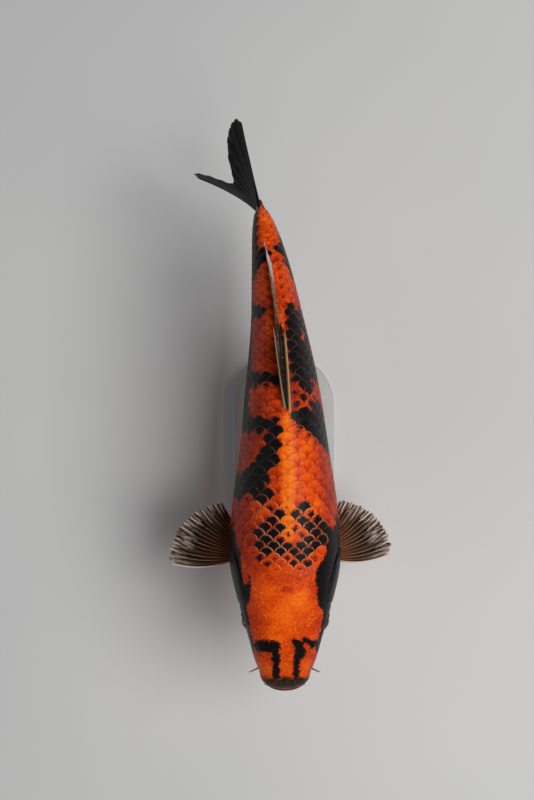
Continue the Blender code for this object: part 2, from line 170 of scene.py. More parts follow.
# The markings: black patches over orange, the same on skin and scales. A patch is a chain of round blots,
# each an along, an arc and a radius; an orange chain after a black one lets the ground show again.
BLOTS = [
    # Snout, lips and cheeks.
    ("black", [(50, -30, 6.4), (51, -22, 6.0), (51, -12, 6.4)]),
    ("black", [(47, -10.5, 4.4), (33, -10, 3.7), (18, -9.5, 3.8)]),
    ("black", [(56, 8, 4.0), (50, 13, 5.5), (42, 15, 4.5)]),
    ("black", [(58, 17, 2.2), (53, 26, 4.2), (52, 33, 5.0)]),
    ("black", [(42, 12, 4.6), (30, 10, 3.4), (18, 10.5, 3.6)]),
    ("black", [(9, -8, 4.0), (12, 0, 6.0), (9, 8, 4.5)]),
    ("black", [(14, -12, 3.0), (9, -22, 4.0), (12, -34, 3.0)]),
    ("black", [(14, 12, 3.0), (9, 22, 4.0), (12, 34, 3.0)]),
    ("black", [(50, -48, 12.0), (72, -62, 21.0), (92, -66, 22.0), (110, -62, 25.0), (128, -72, 24.0),
               (152, -86, 17.0)]),
    ("black", [(50, 44, 11.0), (72, 59, 20.0), (92, 64, 22.0), (105, 56, 26.0), (118, 56, 27.0),
               (140, 68, 25.0), (158, 78, 18.0)]),
    ("orange", [(70, -96, 10.0), (92, -114, 13.0), (122, -132, 14.0)]),
    ("orange", [(74, 94, 9.0), (96, 110, 12.0), (120, 132, 14.0)]),
    ("orange", [(116, -45, 4.2), (130, -46, 5.2), (147, -47, 6.0)]),
    # The nape's net.
    ("black", [(176, 9, 6.0), (170, 22, 9.5), (164, 34, 10.0), (158, 46, 11.0)]),
    ("black", [(186, 8, 3.5), (186, 22, 5.0)]),
    ("black", [(150, 5, 3.5), (144, 15, 8.0), (150, 25, 8.0), (160, 34, 8.0)]),
    ("black", [(138, 10, 5.5), (134, 16, 4.0)]),
    ("black", [(186, -11, 5.0), (172, -12, 6.0), (158, -13, 6.0), (148, -10, 4.5)]),
    ("black", [(161, -25, 9.0), (150, -25, 7.5), (140, -22, 5.5)]),
    ("black", [(191, -4, 2.5)]),
    ("black", [(167, -5, 2.6), (166, -6, 2.6)]),
    ("black", [(142, -4, 3.2), (150, -7, 3.2)]),
    # The right flank.
    ("black", [(264, -10, 6.0), (250, -16, 9.0), (233, -21, 11.0), (216, -36, 14.0), (208, -58, 14.0),
               (204, -95, 13.0), (210, -130, 12.0)]),
    ("black", [(200, -22, 7.5), (200, -34, 6.5)]),
    ("orange", [(251, -29, 4.0), (244, -48, 5.5), (222, -74, 5.5)]),
    ("black", [(269, -10, 4.5), (268, -28, 7.0), (269, -67, 9.0), (277, -98, 14.0), (284, -135, 12.0)]),
    # This low band on the right flank is partly real black and partly painted shade.
    ("black", [(276, -98, 12.0), (298, -96, 12.0), (314, -92, 12.0)]),
    ("black", [(312, -10, 5.5), (312, -32, 7.0), (314, -78, 9.0), (322, -118, 10.0)]),
    ("black", [(379, -19, 4.5), (380, -43, 8.0), (386, -75, 9.0)]),
    # The tail stalk, both sides.
    ("black", [(436, -5, 5.0), (431, -16, 9.0), (421, -32, 9.5), (416, -55, 8.0)]),
    # The black low along the stalk's right side is partly real black and partly painted shade.
    ("black", [(485, -13, 6.5), (464, -17, 8.0), (440, -24, 9.5)]),
    ("black", [(438, 9, 3.6), (436, 20, 5.5)]),
    ("black", [(449, 27, 6.0), (439, 24, 8.5), (427, 25, 8.0), (414, 34, 7.0)]),
    # This long low band on the right flank is partly real black and partly painted shade.
    ("black", [(300, -66, 9.0), (342, -66, 11.0), (384, -60, 11.0), (430, -44, 9.0)]),
    ("black", [(486, 3, 3.4), (479, 7, 2.2)]),
    ("black", [(487, 16, 3.6), (486, 27, 5.5), (488, 44, 5.0)]),
    ("black", [(487, -30, 5.5), (485, -46, 4.5)]),
    # The left flank.
    ("black", [(377, 16, 8.0), (358, 19, 12.5), (338, 19, 13.0), (318, 20, 12.5), (306, 30, 7.0)]),
    ("black", [(374, 34, 7.0), (350, 44, 13.0), (322, 44, 14.0), (318, 70, 13.0), (320, 100, 12.0)]),
    ("orange", [(351, 31, 5.0)]),
    ("orange", [(300, 4, 3.0), (297, 12, 3.0)]),
    ("black", [(286, 36, 5.0), (278, 56, 11.0), (266, 66, 12.0)]),
    ("black", [(292, 12, 5.0), (296, 32, 6.0)]),
    ("orange", [(292, 10, 1.5), (294, 32, 1.2)]),
    ("orange", [(295, 47, 5.0), (292, 60, 6.0), (288, 80, 6.5)]),
    ("black", [(273, 11, 8.5), (271, 22, 12.0), (262, 41, 14.0), (252, 60, 11.0), (246, 105, 16.0),
               (250, 145, 12.0)]),
    ("black", [(302, 20, 3.0), (300, 27, 2.4)]),
    ("black", [(303, 42, 2.4), (298, 36, 2.8)]),
    # Small blots along the ridge, and the right flank's low band.
    ("black", [(281, 1.5, 1.5), (292, 1.5, 3.4), (345, 1.5, 3.2), (364, 0.5, 1.4)]),
    ("black", [(166, -3, 3.0), (167, -3, 2.6)]),
    ("black", [(150, -2, 3.2), (151, -2, 3.0)]),
    ("black", [(272, -66, 10.0), (292, -70, 13.0), (310, -68, 10.0)]),
]
# Where the orange is brighter and yellower, or deeper below 0, as a strength and a chain that fades out.
GLOW_GROUND = 0.34
GLOWS = [
    (0.50, [(160, 0, 5.0), (200, 0, 6.5), (245, 0, 6.5), (274, 0, 5.0)]),
    (0.22, [(192, 22, 22.0), (240, 22, 18.0)]),
    (0.21, [(66, 0, 24.0), (104, 0, 24.0)]),
    (0.14, [(72, 4, 12.0), (96, 6, 14.0)]),
    (-0.20, [(290, 8, 9.0), (316, 9, 9.0)]),
    (-0.30, [(107, 3, 4.0), (109, -3, 3.0)]),
    (0.22, [(455, 6, 14.0), (474, 0, 12.0)]),
    (0.18, [(22, -19, 8.0), (30, -22, 8.0)]),
    (0.18, [(22, 19, 8.0), (30, 22, 8.0)]),
    (0.06, [(390, 16, 16.0), (415, 14, 14.0)]),
    (0.24, [(28, 0, 10.0)]),
    # These two chains deepen the orange low on both flanks. This is partly the flanks' own deeper colour and
    # partly painted shade.
    (-0.24, [(165, -64, 34.0), (225, -66, 26.0), (400, -52, 22.0)]),
    (-0.20, [(170, 66, 26.0), (250, 66, 24.0), (400, 50, 20.0)]),
]


def chain_depth(along, arc, chain):
    """How deep a place lies inside a chain of blots; less than 0 outside it."""
    best = np.full(np.broadcast(along, arc).shape, -1e3)
    for first, second in zip(chain, chain[1:] or chain):
        step = np.array(second[:2], float) - np.array(first[:2], float)
        share = ((along - first[0]) * step[0] + (arc - first[1]) * step[1]) / max(step @ step, 1e-6)
        share = np.clip(share, 0, 1)
        away = np.hypot(along - first[0] - share * step[0], arc - first[1] - share * step[1])
        best = np.maximum(best, first[2] + (second[2] - first[2]) * share - away)
    return best


def ink(along, arc):
    """How deep a place lies in the black, in millimetres; less than 0 in the orange."""
    depth = np.full(np.broadcast(along, arc).shape, -25.0)
    for colour, chain in BLOTS:
        inside = chain_depth(along, arc, chain)
        depth = np.maximum(depth, inside) if colour == "black" else np.minimum(depth, -inside)
    return depth


def glow(along, arc):
    """How bright the orange is, from 0 to 1."""
    total = np.full(np.broadcast(along, arc).shape, GLOW_GROUND)
    for strength, chain in GLOWS:
        reach = np.mean([blot[2] for blot in chain])
        total = total + strength * ease(chain_depth(along, arc, chain), -0.6 * reach, 0.7 * reach)
    return np.clip(total, 0, 1)


# The skin's own lines, each an angle round the body and how far along the line crosses it.
GILL_EDGE = [
    (0, 118), (30, 114), (54, 112), (57, 124), (62, 134), (72, 141.5), (85, 144), (100, 142), (110, 137),
    (119, 128.5), (130, 118), (145, 104), (160, 93), (180, 84),
]
CHEEK_END = [(0, 84), (108, 84), (150, 66), (180, 62)]
CHEEK_BONE = [(50, 98), (62, 93), (90, 88), (110, 84), (130, 74)]
SCALES_START = [
    (0, 124), (18, 126), (27, 131), (36, 140), (45, 150), (105, 150), (119, 140), (130, 130), (150, 118),
    (180, 108),
]
BACK_FIN_GAP = (268.0, 428.0)
SKIN_COLUMNS = 312
COAT_DEPTH = 1.5
SHOULDER_END = 200.0
MOUTH_SLOPE = math.tan(math.radians(24))
MOUTH_COLUMN = 100.0
MOUTH_NET_END = 40.0
LIP_REACH = 13.0
NOSTRILS = ((46.0, 41.5), (50.6, 42.0))
EYE_OPENING = 6.1
TAIL_END_REACH = 4.0
TAIL_END_RINGS = (0.35, 0.65, 0.85, 0.96, 1.0)
eye_low, eye_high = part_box("eye_left")
EYE_ALONG = (eye_low[1] + eye_high[1]) / 2 / MM + ORIGIN_ALONG
EYE_HEIGHT = (eye_low[2] + eye_high[2]) / 2 / MM


def line_at(line, angle):
    """How far along a line of straight lengths lies at that angle."""
    return np.interp(angle, *np.array(line, float).T)


def steps(count, start=0.0, end=1.0):
    """Even steps from the start to the end, the start itself left out, as a column."""
    return np.linspace(start, end, count)[1:, None]


def column_angles():
    """Angles round the body from 0 to 360, closer together at the eyes, the mouth and the nostrils."""
    fine = np.linspace(0, 180, 1801)
    closeness = 1 + 1.5 * hump(fine, 94, 15) + 0.9 * hump(fine, 41.5, 9)
    share = np.concatenate([[0], np.cumsum((closeness[1:] + closeness[:-1]) / 2)])
    half = np.interp(np.linspace(0, share[-1], SKIN_COLUMNS // 2 + 1), share, fine)
    half[np.argmin(np.abs(half - MOUTH_COLUMN))] = MOUTH_COLUMN
    return np.concatenate([half, -half[-2:0:-1]])


def mouth_height(along):
    """How high the mouth's line runs, from the snout's tip back."""
    return AXIS_HEIGHT - MOUTH_DROP - MOUTH_SLOPE * along - (1 - np.exp(-along / 1.5))


def angle_at_height(along, height, lowest, highest):
    """Where on the flank, between two angles, the form stands at that height."""
    search = np.arange(lowest, highest, 0.25)
    return float(np.interp(-height, -body(along, search)[:, 2], search))


def skin_places():
    """Along and angle of every point of the skin's net, row by row from the snout's tip."""
    angles = column_angles()[None, :]
    around = np.abs(angles)
    edge = curve(GILL_EDGE, around)
    cheek_end = line_at(CHEEK_END, around)
    cap = SNOUT_CAP * (1 - np.cos(steps(32, 0, math.pi / 2))) + 0 * around
    face = SNOUT_CAP + (cheek_end - SNOUT_CAP) * np.concatenate([steps(50, 0, 0.62), steps(40, 0.62, 1)])
    cheek = cheek_end + (edge - cheek_end) * (1 - (1 - steps(62)) ** 1.35)
    shoulder = edge + (SHOULDER_END - edge) * steps(41) ** 1.35
    trunk = steps(70, SHOULDER_END, BODY_LENGTH) + 0 * around
    along = np.concatenate([cap, face, cheek, shoulder, trunk])
    angle = np.broadcast_to(angles, along.shape).copy()
    # Near the mouth the net bends so that one of its columns runs along the mouth's line.
    for row in np.nonzero(along[:, 0] < MOUTH_NET_END)[0]:
        at = along[row, 0]
        line = angle_at_height(at, mouth_height(at), 80.0, 150.0)
        bent = np.interp(around[0], [0, MOUTH_COLUMN, 180], [0, line, 180])
        share = 1 - ease(at, 14, MOUTH_NET_END)
        angle[row] = np.sign(angles[0]) * (around[0] + share * (bent - around[0]))
    angle[:, SKIN_COLUMNS // 2] = 180.0
    # Round each eye the net draws in towards the opening's edge.
    eye_angle = angle_at_height(EYE_ALONG, EYE_HEIGHT, 40.0, 110.0)
    per_degree = float(arc_at(EYE_ALONG, eye_angle + 1) - arc_at(EYE_ALONG, eye_angle))
    down = (np.abs(angle) - eye_angle) * per_degree
    back = along - EYE_ALONG
    away = np.maximum(np.hypot(down, back), 1e-3)
    drawn = away + 0.5 * (EYE_OPENING + 0.2 - away) * hump(away, EYE_OPENING, 2.0)
    along = EYE_ALONG + back * drawn / away
    angle = np.sign(angle) * (eye_angle + down * drawn / away / per_degree)
    return along, angle


def skin_relief(along, angle, places):
    """How far the skin stands out from the body's form."""
    around = np.abs(angle)
    width, height = np.abs(places[..., 0]), places[..., 2]
    relief = np.zeros(along.shape)
    # Lips: two soft rolls either side of the mouth's slit, each with a crease behind it.
    above = height - mouth_height(along)
    lips = 1 - ease(along, 0.75 * LIP_REACH, 1.35 * LIP_REACH)
    rolls = 2.1 * hump(above, 3.0, 2.2) + 1.9 * hump(above, -2.9, 2.1)
    creases = 1.3 * hump(above, 6.6, 0.9) + 1.0 * hump(above, -6.3, 1.0)
    relief += lips * (rolls - creases - 2.0 * hump(above, 0, 9.0) - 4.0 * hump(above, 0, 0.75))
    fold = ease(along, 6, 12) * (1 - ease(along, 22, 30))
    relief -= 0.9 * fold * hump(above - 3.0 + 0.35 * (along - 12), 0, 1.3)
    # Snout: a low pad between the nostrils, and a paired nostril each side with a flap between its holes.
    relief += 0.6 * hump(along, 26, 8) * hump(arc_at(along, around), 0, 8)
    for hole_along, hole_angle in NOSTRILS:
        away = np.hypot(along - hole_along, (around - hole_angle) * 0.64)
        relief += 0.55 * hump(away, 2.2, 0.8) - 2.4 * hump(away, 0, 1.25)
    middle = sum(hole[0] for hole in NOSTRILS) / 2
    relief += 1.3 * hump(along, middle, 0.8) * hump(around, 41.5, 3.0)
    relief += 0.7 * hump(along, middle, 6) * hump(around, 41.5, 9)
    # Eye: a raised ring round the opening under a low brow.
    away = np.hypot(places[..., 1] + ORIGIN_ALONG - EYE_ALONG, height - EYE_HEIGHT)
    away = np.where(width > 15, away, 99.0)
    relief += 0.5 * hump(away, 0, 12) + 0.9 * hump(away, EYE_OPENING + 0.9, 0.9)
    relief -= 0.5 * hump(away, EYE_OPENING + 3.0, 1.0)
    relief += 0.9 * hump(along, 70, 14) * hump(around, 62, 8)
    relief = np.where(away < EYE_OPENING, -5.0 * ease(EYE_OPENING - away, 0, 0.9) + relief, relief)
    # Cheek bone and gill cover: a groove, a swelling plate, and a free edge with a step down behind it.
    bone = line_at(CHEEK_BONE, around)
    edge = curve(GILL_EDGE, around)
    flank = ease(around, 50, 60) * (1 - ease(around, 120, 135))
    relief -= 0.75 * flank * hump(along, bone, 1.5)
    plate = np.clip((along - bone) / np.maximum(edge - bone, 1), 0, 1)
    relief += 1.0 * flank * np.sin(math.pi * plate) ** 0.8
    relief -= 0.45 * flank * hump(along, edge - 5.0, 0.9)
    behind = along - edge
    free = ease(around, 49, 58) * (1 - 0.25 * ease(around, 168, 180))
    relief += np.where(behind <= 1e-6, 0.8 * np.exp(behind / 3.0), 0.0) * free
    # Throat: the folds of the gill membranes.
    under = ease(around, 118, 130) * (1 - ease(around, 166, 176)) * (1 - ease(np.abs(behind + 9), 7, 9))
    relief -= 0.45 * under * (0.5 + 0.5 * np.cos(behind * 2 * math.pi / 4.5))
    # Behind the gill covers the skin drops by the step, or by the coat's depth where that is more.
    step = np.where(behind > 1e-6, -1.8 * np.exp(-behind / 6.0) * free, 0.0)
    start = line_at(SCALES_START, around)
    coat = -COAT_DEPTH * ease(along, start - 4.0, start + 13.0)
    # Along the back fin the skin rises again between the scales, into a pale fold on the fin's left.
    gap_start, gap_end = BACK_FIN_GAP
    beside = ease(along, gap_start, gap_start + 10) * (1 - ease(along, gap_end - 10, gap_end))
    coat = coat * (1 - beside * (1 - ease(arc_at(along, around), 3.5, 6.0)))
    coat = coat + 0.9 * beside * hump(arc_at(along, angle), 4.2, 1.0) * (1 - ease(along, 346, 362))
    relief += np.where(np.abs(step) > np.abs(coat), step, coat)
    # The fleshy root of each pectoral fin.
    relief += 1.6 * hump(along, 138, 7) * hump(around, 126, 8)
    return relief


def net_normals(net, wraps):
    """The directions out of a net of points, which its rows and columns give."""
    if wraps:
        around = np.roll(net, -1, axis=1) - np.roll(net, 1, axis=1)
    else:
        around = np.gradient(net, axis=1)
    return unit(np.cross(around, np.gradient(net, axis=0)))


def ring_quads(rings, size, first=0):
    """Quads between rings of points that follow one another, each ring closed on itself."""
    start = first + np.arange(rings - 1)[:, None] * size
    this, after = np.arange(size), (np.arange(size) + 1) % size
    quads = np.stack([start + this, start + after, start + size + after, start + size + this], axis=-1)
    return quads.reshape(-1, 4)


def fan(pole, first, size):
    """Triangles from a pole to the ring round it, each written as a quad that ends where it began."""
    this, after = np.arange(size), (np.arange(size) + 1) % size
    return np.stack([pole + 0 * this, first + this, first + after, pole + 0 * this], axis=-1)


def corner_points(mesh):
    """The point that each corner of each face stands on."""
    corners = np.empty(len(mesh.loops), int)
    mesh.loops.foreach_get("vertex_index", corners)
    return corners


def write_map(mesh, label, places):
    mesh.uv_layers.new(name=label)
    mesh.uv_layers[label].uv.foreach_set("vector", places.astype(np.float32).ravel())


def write_values(mesh, values_by_label):
    """Gives each point of a mesh its value, or its vector, under each label."""
    for label, values in values_by_label.items():
        single = values.ndim == 1
        layer = mesh.attributes.new(label, "FLOAT" if single else "FLOAT_VECTOR", "POINT")
        layer.data.foreach_set("value" if single else "vector", values.astype(np.float32).ravel())


def place_mesh(name, points, faces, values=None, map_corners=None):
    """A smooth mesh object from points in millimetres and faces, some of them quads with a doubled corner."""
    mesh = bpy.data.meshes.new(name)
    mesh.from_pydata((points * MM).tolist(), [], [list(dict.fromkeys(face)) for face in faces])
    write_values(mesh, values or {})
    if map_corners is not None:
        write_map(mesh, "OFBake", map_corners(mesh))
    mesh.shade_smooth()
    piece = bpy.data.objects.new(name, mesh)
    bpy.context.scene.collection.objects.link(piece)
    return piece


skin_along, skin_angle = skin_places()
skin_net = body(skin_along, skin_angle)
skin_net += net_normals(skin_net, True) * skin_relief(skin_along, skin_angle, skin_net)[..., None]
# The skin closes over the root of the tail fin in a few narrowing rings.
end_middle = axis(np.array(BODY_LENGTH))
to_side, _ = axis_directions(np.array(BODY_LENGTH))
for share in TAIL_END_RINGS:
    ring = skin_net[len(skin_along) - 1].copy()
    sideways = (ring - end_middle) @ to_side
    ring -= to_side * (sideways * (1 - math.sqrt(1 - share**2)))[:, None]
    ring[:, 1] += TAIL_END_REACH * share
    ring[:, 2] = end_middle[2] + (ring[:, 2] - end_middle[2]) * (1 - 0.05 * share)
    skin_net = np.concatenate([skin_net, ring[None]])
skin_along = np.concatenate([skin_along, np.full((len(TAIL_END_RINGS), SKIN_COLUMNS), BODY_LENGTH)])
skin_angle = np.concatenate([skin_angle, np.repeat(skin_angle[-1:], len(TAIL_END_RINGS), axis=0)])
skin_rows = len(skin_net)
half_round = SKIN_COLUMNS // 2
last_ring = 1 + (skin_rows - 1) * SKIN_COLUMNS
ladder = np.arange(half_round)
tail_quads = last_ring + np.stack([
    ladder, ladder + 1, (SKIN_COLUMNS - ladder - 1) % SKIN_COLUMNS, (SKIN_COLUMNS - ladder) % SKIN_COLUMNS,
], axis=-1)
skin_faces = np.concatenate([
    fan(0, 1, SKIN_COLUMNS)[:, ::-1], ring_quads(skin_rows, SKIN_COLUMNS, first=1), tail_quads,
])
snout_tip = skin_net[0].mean(axis=0)
snout_tip[1] = skin_net[0, :, 1].min() - 0.02
skin_points = np.concatenate([[snout_tip], skin_net.reshape(-1, 3)])
skin_along = np.concatenate([[0.0], skin_along.ravel()])
skin_angle = np.concatenate([[0.0], skin_angle.ravel()])
skin_arc = arc_at(skin_along, skin_angle)


def skin_map(mesh):
    """The skin unrolled: each row of its net a column of the map, cut open under the belly."""
    corners = corner_points(mesh)
    row = np.where(corners == 0, 0, (corners - 1) // SKIN_COLUMNS + 1) / (skin_rows + 1)
    column = np.where(corners == 0, 0, (corners - 1) % SKIN_COLUMNS)
    column = np.where(column > half_round, column - SKIN_COLUMNS, column).astype(float)
    starts = np.empty(len(mesh.polygons), int)
    mesh.polygons.foreach_get("loop_start", starts)
    counts = np.diff(np.append(starts, len(corners)))
    lowest = np.repeat(np.minimum.reduceat(column, starts), counts)
    column = np.where((column == half_round) & (lowest < -half_round / 2), -half_round, column)
    return np.stack([0.002 + 0.996 * row, 0.5 + 0.498 * column / half_round], axis=-1)


skin = place_mesh("skin", skin_points, skin_faces.tolist(), {
    "ink": ink(skin_along, skin_arc),
    "glow": glow(skin_along, skin_arc),
    "flank": np.abs(skin_angle) / 180,
    "lip": (1 - ease(skin_along, 13, 19.5)) * (1 - ease(np.abs(skin_angle), 138, 150)),
    "fold": ease(skin_along, 276, 282) * (1 - ease(skin_along, 346, 362)) * hump(skin_arc, 4.2, 1.1),
}, skin_map)


def feed(tree, value, socket):
    """Links another node's output to a socket, or sets the socket to a constant."""
    if isinstance(value, bpy.types.NodeSocket):
        tree.links.new(value, socket)
    else:
        socket.default_value = value


def node(tree, kind, inputs=None, **settings):
    """Adds a node with its settings and its inputs, which are named or numbered."""
    made = tree.nodes.new(kind)
    for label, value in settings.items():
        setattr(made, label, value)
    for label, value in (inputs or {}).items():
        feed(tree, value, made.inputs[label])
    return made


def blend(tree, share, first, second):
    """A mix of two colours, each three numbers or another node's colour."""
    made = node(tree, "ShaderNodeMix", {0: share}, data_type="RGBA")
    for number, colour in ((6, first), (7, second)):
        feed(tree, (*colour, 1) if isinstance(colour, tuple) else colour, made.inputs[number])
    return made.outputs[2]


def maths(tree, operation, *values, clamp=False):
    made = node(tree, "ShaderNodeMath", dict(enumerate(values)), operation=operation, use_clamp=clamp)
    return made.outputs[0]


def add(tree, first, second, clamp=False):
    return maths(tree, "ADD", first, second, clamp=clamp)


def times(tree, product, *values):
    for value in values:
        product = maths(tree, "MULTIPLY", product, value)
    return product


def from_line(tree, value, line=0.0):
    """How far a value lies to either side of a line."""
    return maths(tree, "ABSOLUTE", maths(tree, "SUBTRACT", value, line) if line else value)


def ramp(tree, value, start, end, low=0.0, high=1.0):
    """A smooth rise from low to high as the value goes from start to end."""
    made = node(tree, "ShaderNodeMapRange", {
        "Value": value, "From Min": start, "From Max": end, "To Min": low, "To Max": high,
    }, interpolation_type="SMOOTHSTEP")
    return made.outputs["Result"]


def on_piece(tree):
    """A place on the piece, which holds a pattern fast to it."""
    return node(tree, "ShaderNodeTexCoord").outputs["Object"]


def grain(tree, size, detail=2.0, roughness=0.5, place=None):
    """Noise whose spots are about that many millimetres across."""
    made = node(tree, "ShaderNodeTexNoise", {
        "Vector": place or on_piece(tree), "Scale": 1 / (size * MM), "Detail": detail, "Roughness": roughness,
    })
    return made.outputs["Fac"]


def uneven(tree, size, low, high, detail=2.0):
    """Grain that wanders from low to high."""
    return ramp(tree, grain(tree, size, detail), 0.3, 0.7, low, high)


def held(tree, label, output="Fac"):
    """The value, or the vector, that the mesh holds under that label."""
    made = node(tree, "ShaderNodeAttribute", attribute_name=label, attribute_type="GEOMETRY")
    return made.outputs[output]


def new_group(label, inputs, outputs, kind="Shader"):
    """An empty node group with its named sockets, and its input's and its output's own nodes."""
    tree = bpy.data.node_groups.new(label, kind + "NodeTree")
    for way, sockets in (("INPUT", inputs), ("OUTPUT", outputs)):
        for name, socket in sockets.items():
            tree.interface.new_socket(name=name, in_out=way, socket_type="NodeSocket" + socket)
    return tree, node(tree, "NodeGroupInput").outputs, node(tree, "NodeGroupOutput").inputs


def new_material(label, roughness=0.4, coat=0.0, coat_roughness=0.1, metallic=0.0, specular=0.5):
    """A material with its shader, whose constants are set on the sockets themselves."""
    material = bpy.data.materials.new(label)
    material.use_nodes = True
    shader = material.node_tree.nodes["Principled BSDF"]
    shader.inputs["Roughness"].default_value = roughness
    shader.inputs["Coat Weight"].default_value = coat
    shader.inputs["Coat Roughness"].default_value = coat_roughness
    shader.inputs["Metallic"].default_value = metallic
    shader.inputs["Specular IOR Level"].default_value = specular
    return material, material.node_tree, shader


def dress(tree, shader, colour, roughness=None, relief=None, strength=0.3, depth=0.4):
    """Feeds a shader its colour, its roughness and, through a bump of that many millimetres, its relief."""
    feed(tree, colour, shader.inputs["Base Color"])
    if roughness is not None:
        feed(tree, roughness, shader.inputs["Roughness"])
    if relief is not None:
        bump = node(tree, "ShaderNodeBump", {"Height": relief, "Strength": strength, "Distance": depth * MM})
        feed(tree, bump.outputs["Normal"], shader.inputs["Normal"])


# Koi colours, for skin and scales: orange from deep to bright, a paler belly, and black with a soft grain.
COVER = {"Color": "Color", "Roughness": "Float", "Bump": "Float"}
ORANGES = [
    (0.0, (0.27, 0.014, 0.004)), (0.3, (0.52, 0.036, 0.004)), (0.6, (0.80, 0.088, 0.003)),
    (1.0, (0.97, 0.205, 0.006)),
]
pigment, given, result = new_group(
    "koi pigment", {"Black": "Float", "Glow": "Float", "Flank": "Float", "Pale": "Float"}, COVER)
speckle = grain(pigment, 2.4, 3, 0.65)
fine = grain(pigment, 0.8, 2)
bright = add(pigment, given["Glow"], uneven(pigment, 22, -0.14, 0.14, 3))
bright = add(pigment, bright, ramp(pigment, speckle, 0.3, 0.7, -0.16, 0.16), clamp=True)
oranges = node(pigment, "ShaderNodeValToRGB", {"Fac": bright})
while len(oranges.color_ramp.elements) < len(ORANGES):
    oranges.color_ramp.elements.new(0.5)
for element, (position, colour) in zip(oranges.color_ramp.elements, ORANGES):
    element.position = position
    element.color = (*colour, 1)
dots = ramp(pigment, grain(pigment, 1.5, 2, 0.6), 0.60, 0.70, 0.0, 0.48)
belly = ramp(pigment, given["Flank"], 0.62, 0.95, 0, 0.85)
orange = blend(pigment, dots, oranges.outputs["Color"], (0.16, 0.012, 0.006))
orange = blend(pigment, belly, orange, (0.74, 0.29, 0.075))
orange = blend(pigment, times(pigment, given["Pale"], 0.75), orange, (0.86, 0.27, 0.065))
black = blend(pigment, ramp(pigment, speckle, 0.4, 0.8), (0.0045, 0.0040, 0.0045), (0.0150, 0.0110, 0.0120))
black = blend(pigment, times(pigment, given["Pale"], 0.8), black, (0.38, 0.21, 0.145))
feed(pigment, blend(pigment, given["Black"], orange, black), result["Color"])
feed(pigment, ramp(pigment, fine, 0.3, 0.7, 0.30, 0.46), result["Roughness"])
feed(pigment, add(pigment, times(pigment, speckle, 0.6), times(pigment, fine, 0.35)), result["Bump"])

material, tree, shader = new_material("koi skin", coat=0.02, coat_roughness=0.15, specular=0.08)
ragged = add(tree, held(tree, "ink"), ramp(tree, grain(tree, 4.2, 3, 0.6), 0.25, 0.75, -1.7, 1.7))
ragged = add(tree, ragged, uneven(tree, 1.2, -0.7, 0.7))
black = ramp(tree, ragged, -1.1, 1.1)
mixed = node(tree, "ShaderNodeGroup", node_tree=pigment)
for label, value in (("Black", black), ("Glow", held(tree, "glow")), ("Flank", held(tree, "flank"))):
    feed(tree, value, mixed.inputs[label])
flecks = ramp(tree, grain(tree, 2.2, 2, 0.6), 0.60, 0.68, 0.0, 0.75)
flecks = times(tree, flecks, ramp(tree, grain(tree, 11, 2), 0.44, 0.58, 0.1, 1.0))
flecks = times(tree, flecks, maths(tree, "SUBTRACT", 1.0, black))
colour = blend(tree, flecks, mixed.outputs["Color"], (0.98, 0.30, 0.03))
lips = times(tree, held(tree, "lip"), ramp(tree, grain(tree, 4, 3), 0.25, 0.6, 0.45, 0.97))
olive = blend(tree, ramp(tree, grain(tree, 2.6, 3), 0.35, 0.65), (0.014, 0.010, 0.007), (0.048, 0.032, 0.018))
colour = blend(tree, lips, colour, olive)
colour = blend(tree, held(tree, "fold"), colour, (0.48, 0.30, 0.13))
dress(tree, shader, colour, mixed.outputs["Roughness"], mixed.outputs["Bump"], strength=0.35, depth=0.6)
skin.data.materials.append(material)
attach(skin, "root")
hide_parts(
    "head", "lower_jaw", "gill_cover_left", "gill_cover_right", "trunk_front", "trunk_middle",
    "trunk_rear", "tail_stalk",
)


# ---- The scales ------------------------------------------------------------------------------------
# Thin bony plates that overlap like roof tiles from nape to tail, their front ends tucked under the rows
# ahead. They stand in staggered rows either side of the lateral line, with one row along back and belly.
SCALE_PIECES = {
    "scales_shoulder": (100, 205), "scales_middle": (205, 290), "scales_rear": (290, 375),
    "scales_tail": (375, 500),
}
SCALE_LENGTH = [
    (110, 9.6), (150, 11.4), (190, 13.2), (235, 13.4), (300, 11.8), (360, 10.4), (420, 8.8), (484.5, 7.2),
]
SCALE_SPACING = [
    (110, 8.4), (150, 9.5), (190, 10.2), (230, 10.5), (270, 10.4), (320, 9.6), (400, 8.0), (484.5, 6.8),
]
NAPE_END = (160, 225)
NAPE_NET_END = (186, 200)
NAPE_NARROWING = 2.9
NAPE_ROWS = 4.0
ROWS_EACH_SIDE = 22
ROW_SCALES = 60
ROW_START, ROW_END, ROW_STEP = 90.0, 496.0, 0.5
BELLY_ROW = 40
COAT_END = 476.0
FRONT_CLEARANCE, BELLY_CLEARANCE = 0.32, 0.36
LATERAL_LINE = 94.0
ANAL_FIN_GAP = (380.0, 420.0)
PECTORAL_GAP_ALONG, PECTORAL_GAP_ANGLE = (129.0, 149.0), (115.0, 137.0)
UNEVENNESS = 0.035
FIRST_SEED = 7
# One scale, with its length and width in parts of its pitch and its rows' spacing.
SCALE_FRONT, SCALE_REAR, SCALE_HALF_WIDTH = -1.05, 0.56, 0.97
FRONT_HEIGHT, REAR_HEIGHT = -0.12, 0.52
SCALE_THICKNESS = 0.26
UNDERSIDE_INSET = 0.985
# The surface that they are laid on, its map, and each scale's share of its piece's map.
GUIDE_OUTSET = -0.9
GUIDE_STEP = 3.0
GUIDE_ALONG, GUIDE_ANGLE = (92.0, 498.0), (-36.0, 217.0)
MAP_LENGTH, MAP_WIDTH = 500.0, 400.0
CELL_START, CELL_LENGTH = 0.03, 0.94
FACE_MIDDLE, FACE_WIDTH = 0.40, 0.76
UNDER_MIDDLE, UNDER_WIDTH = 0.90, 0.14
PIECE_MAP_START, PIECE_MAP_SPARE = 0.06, 14.0


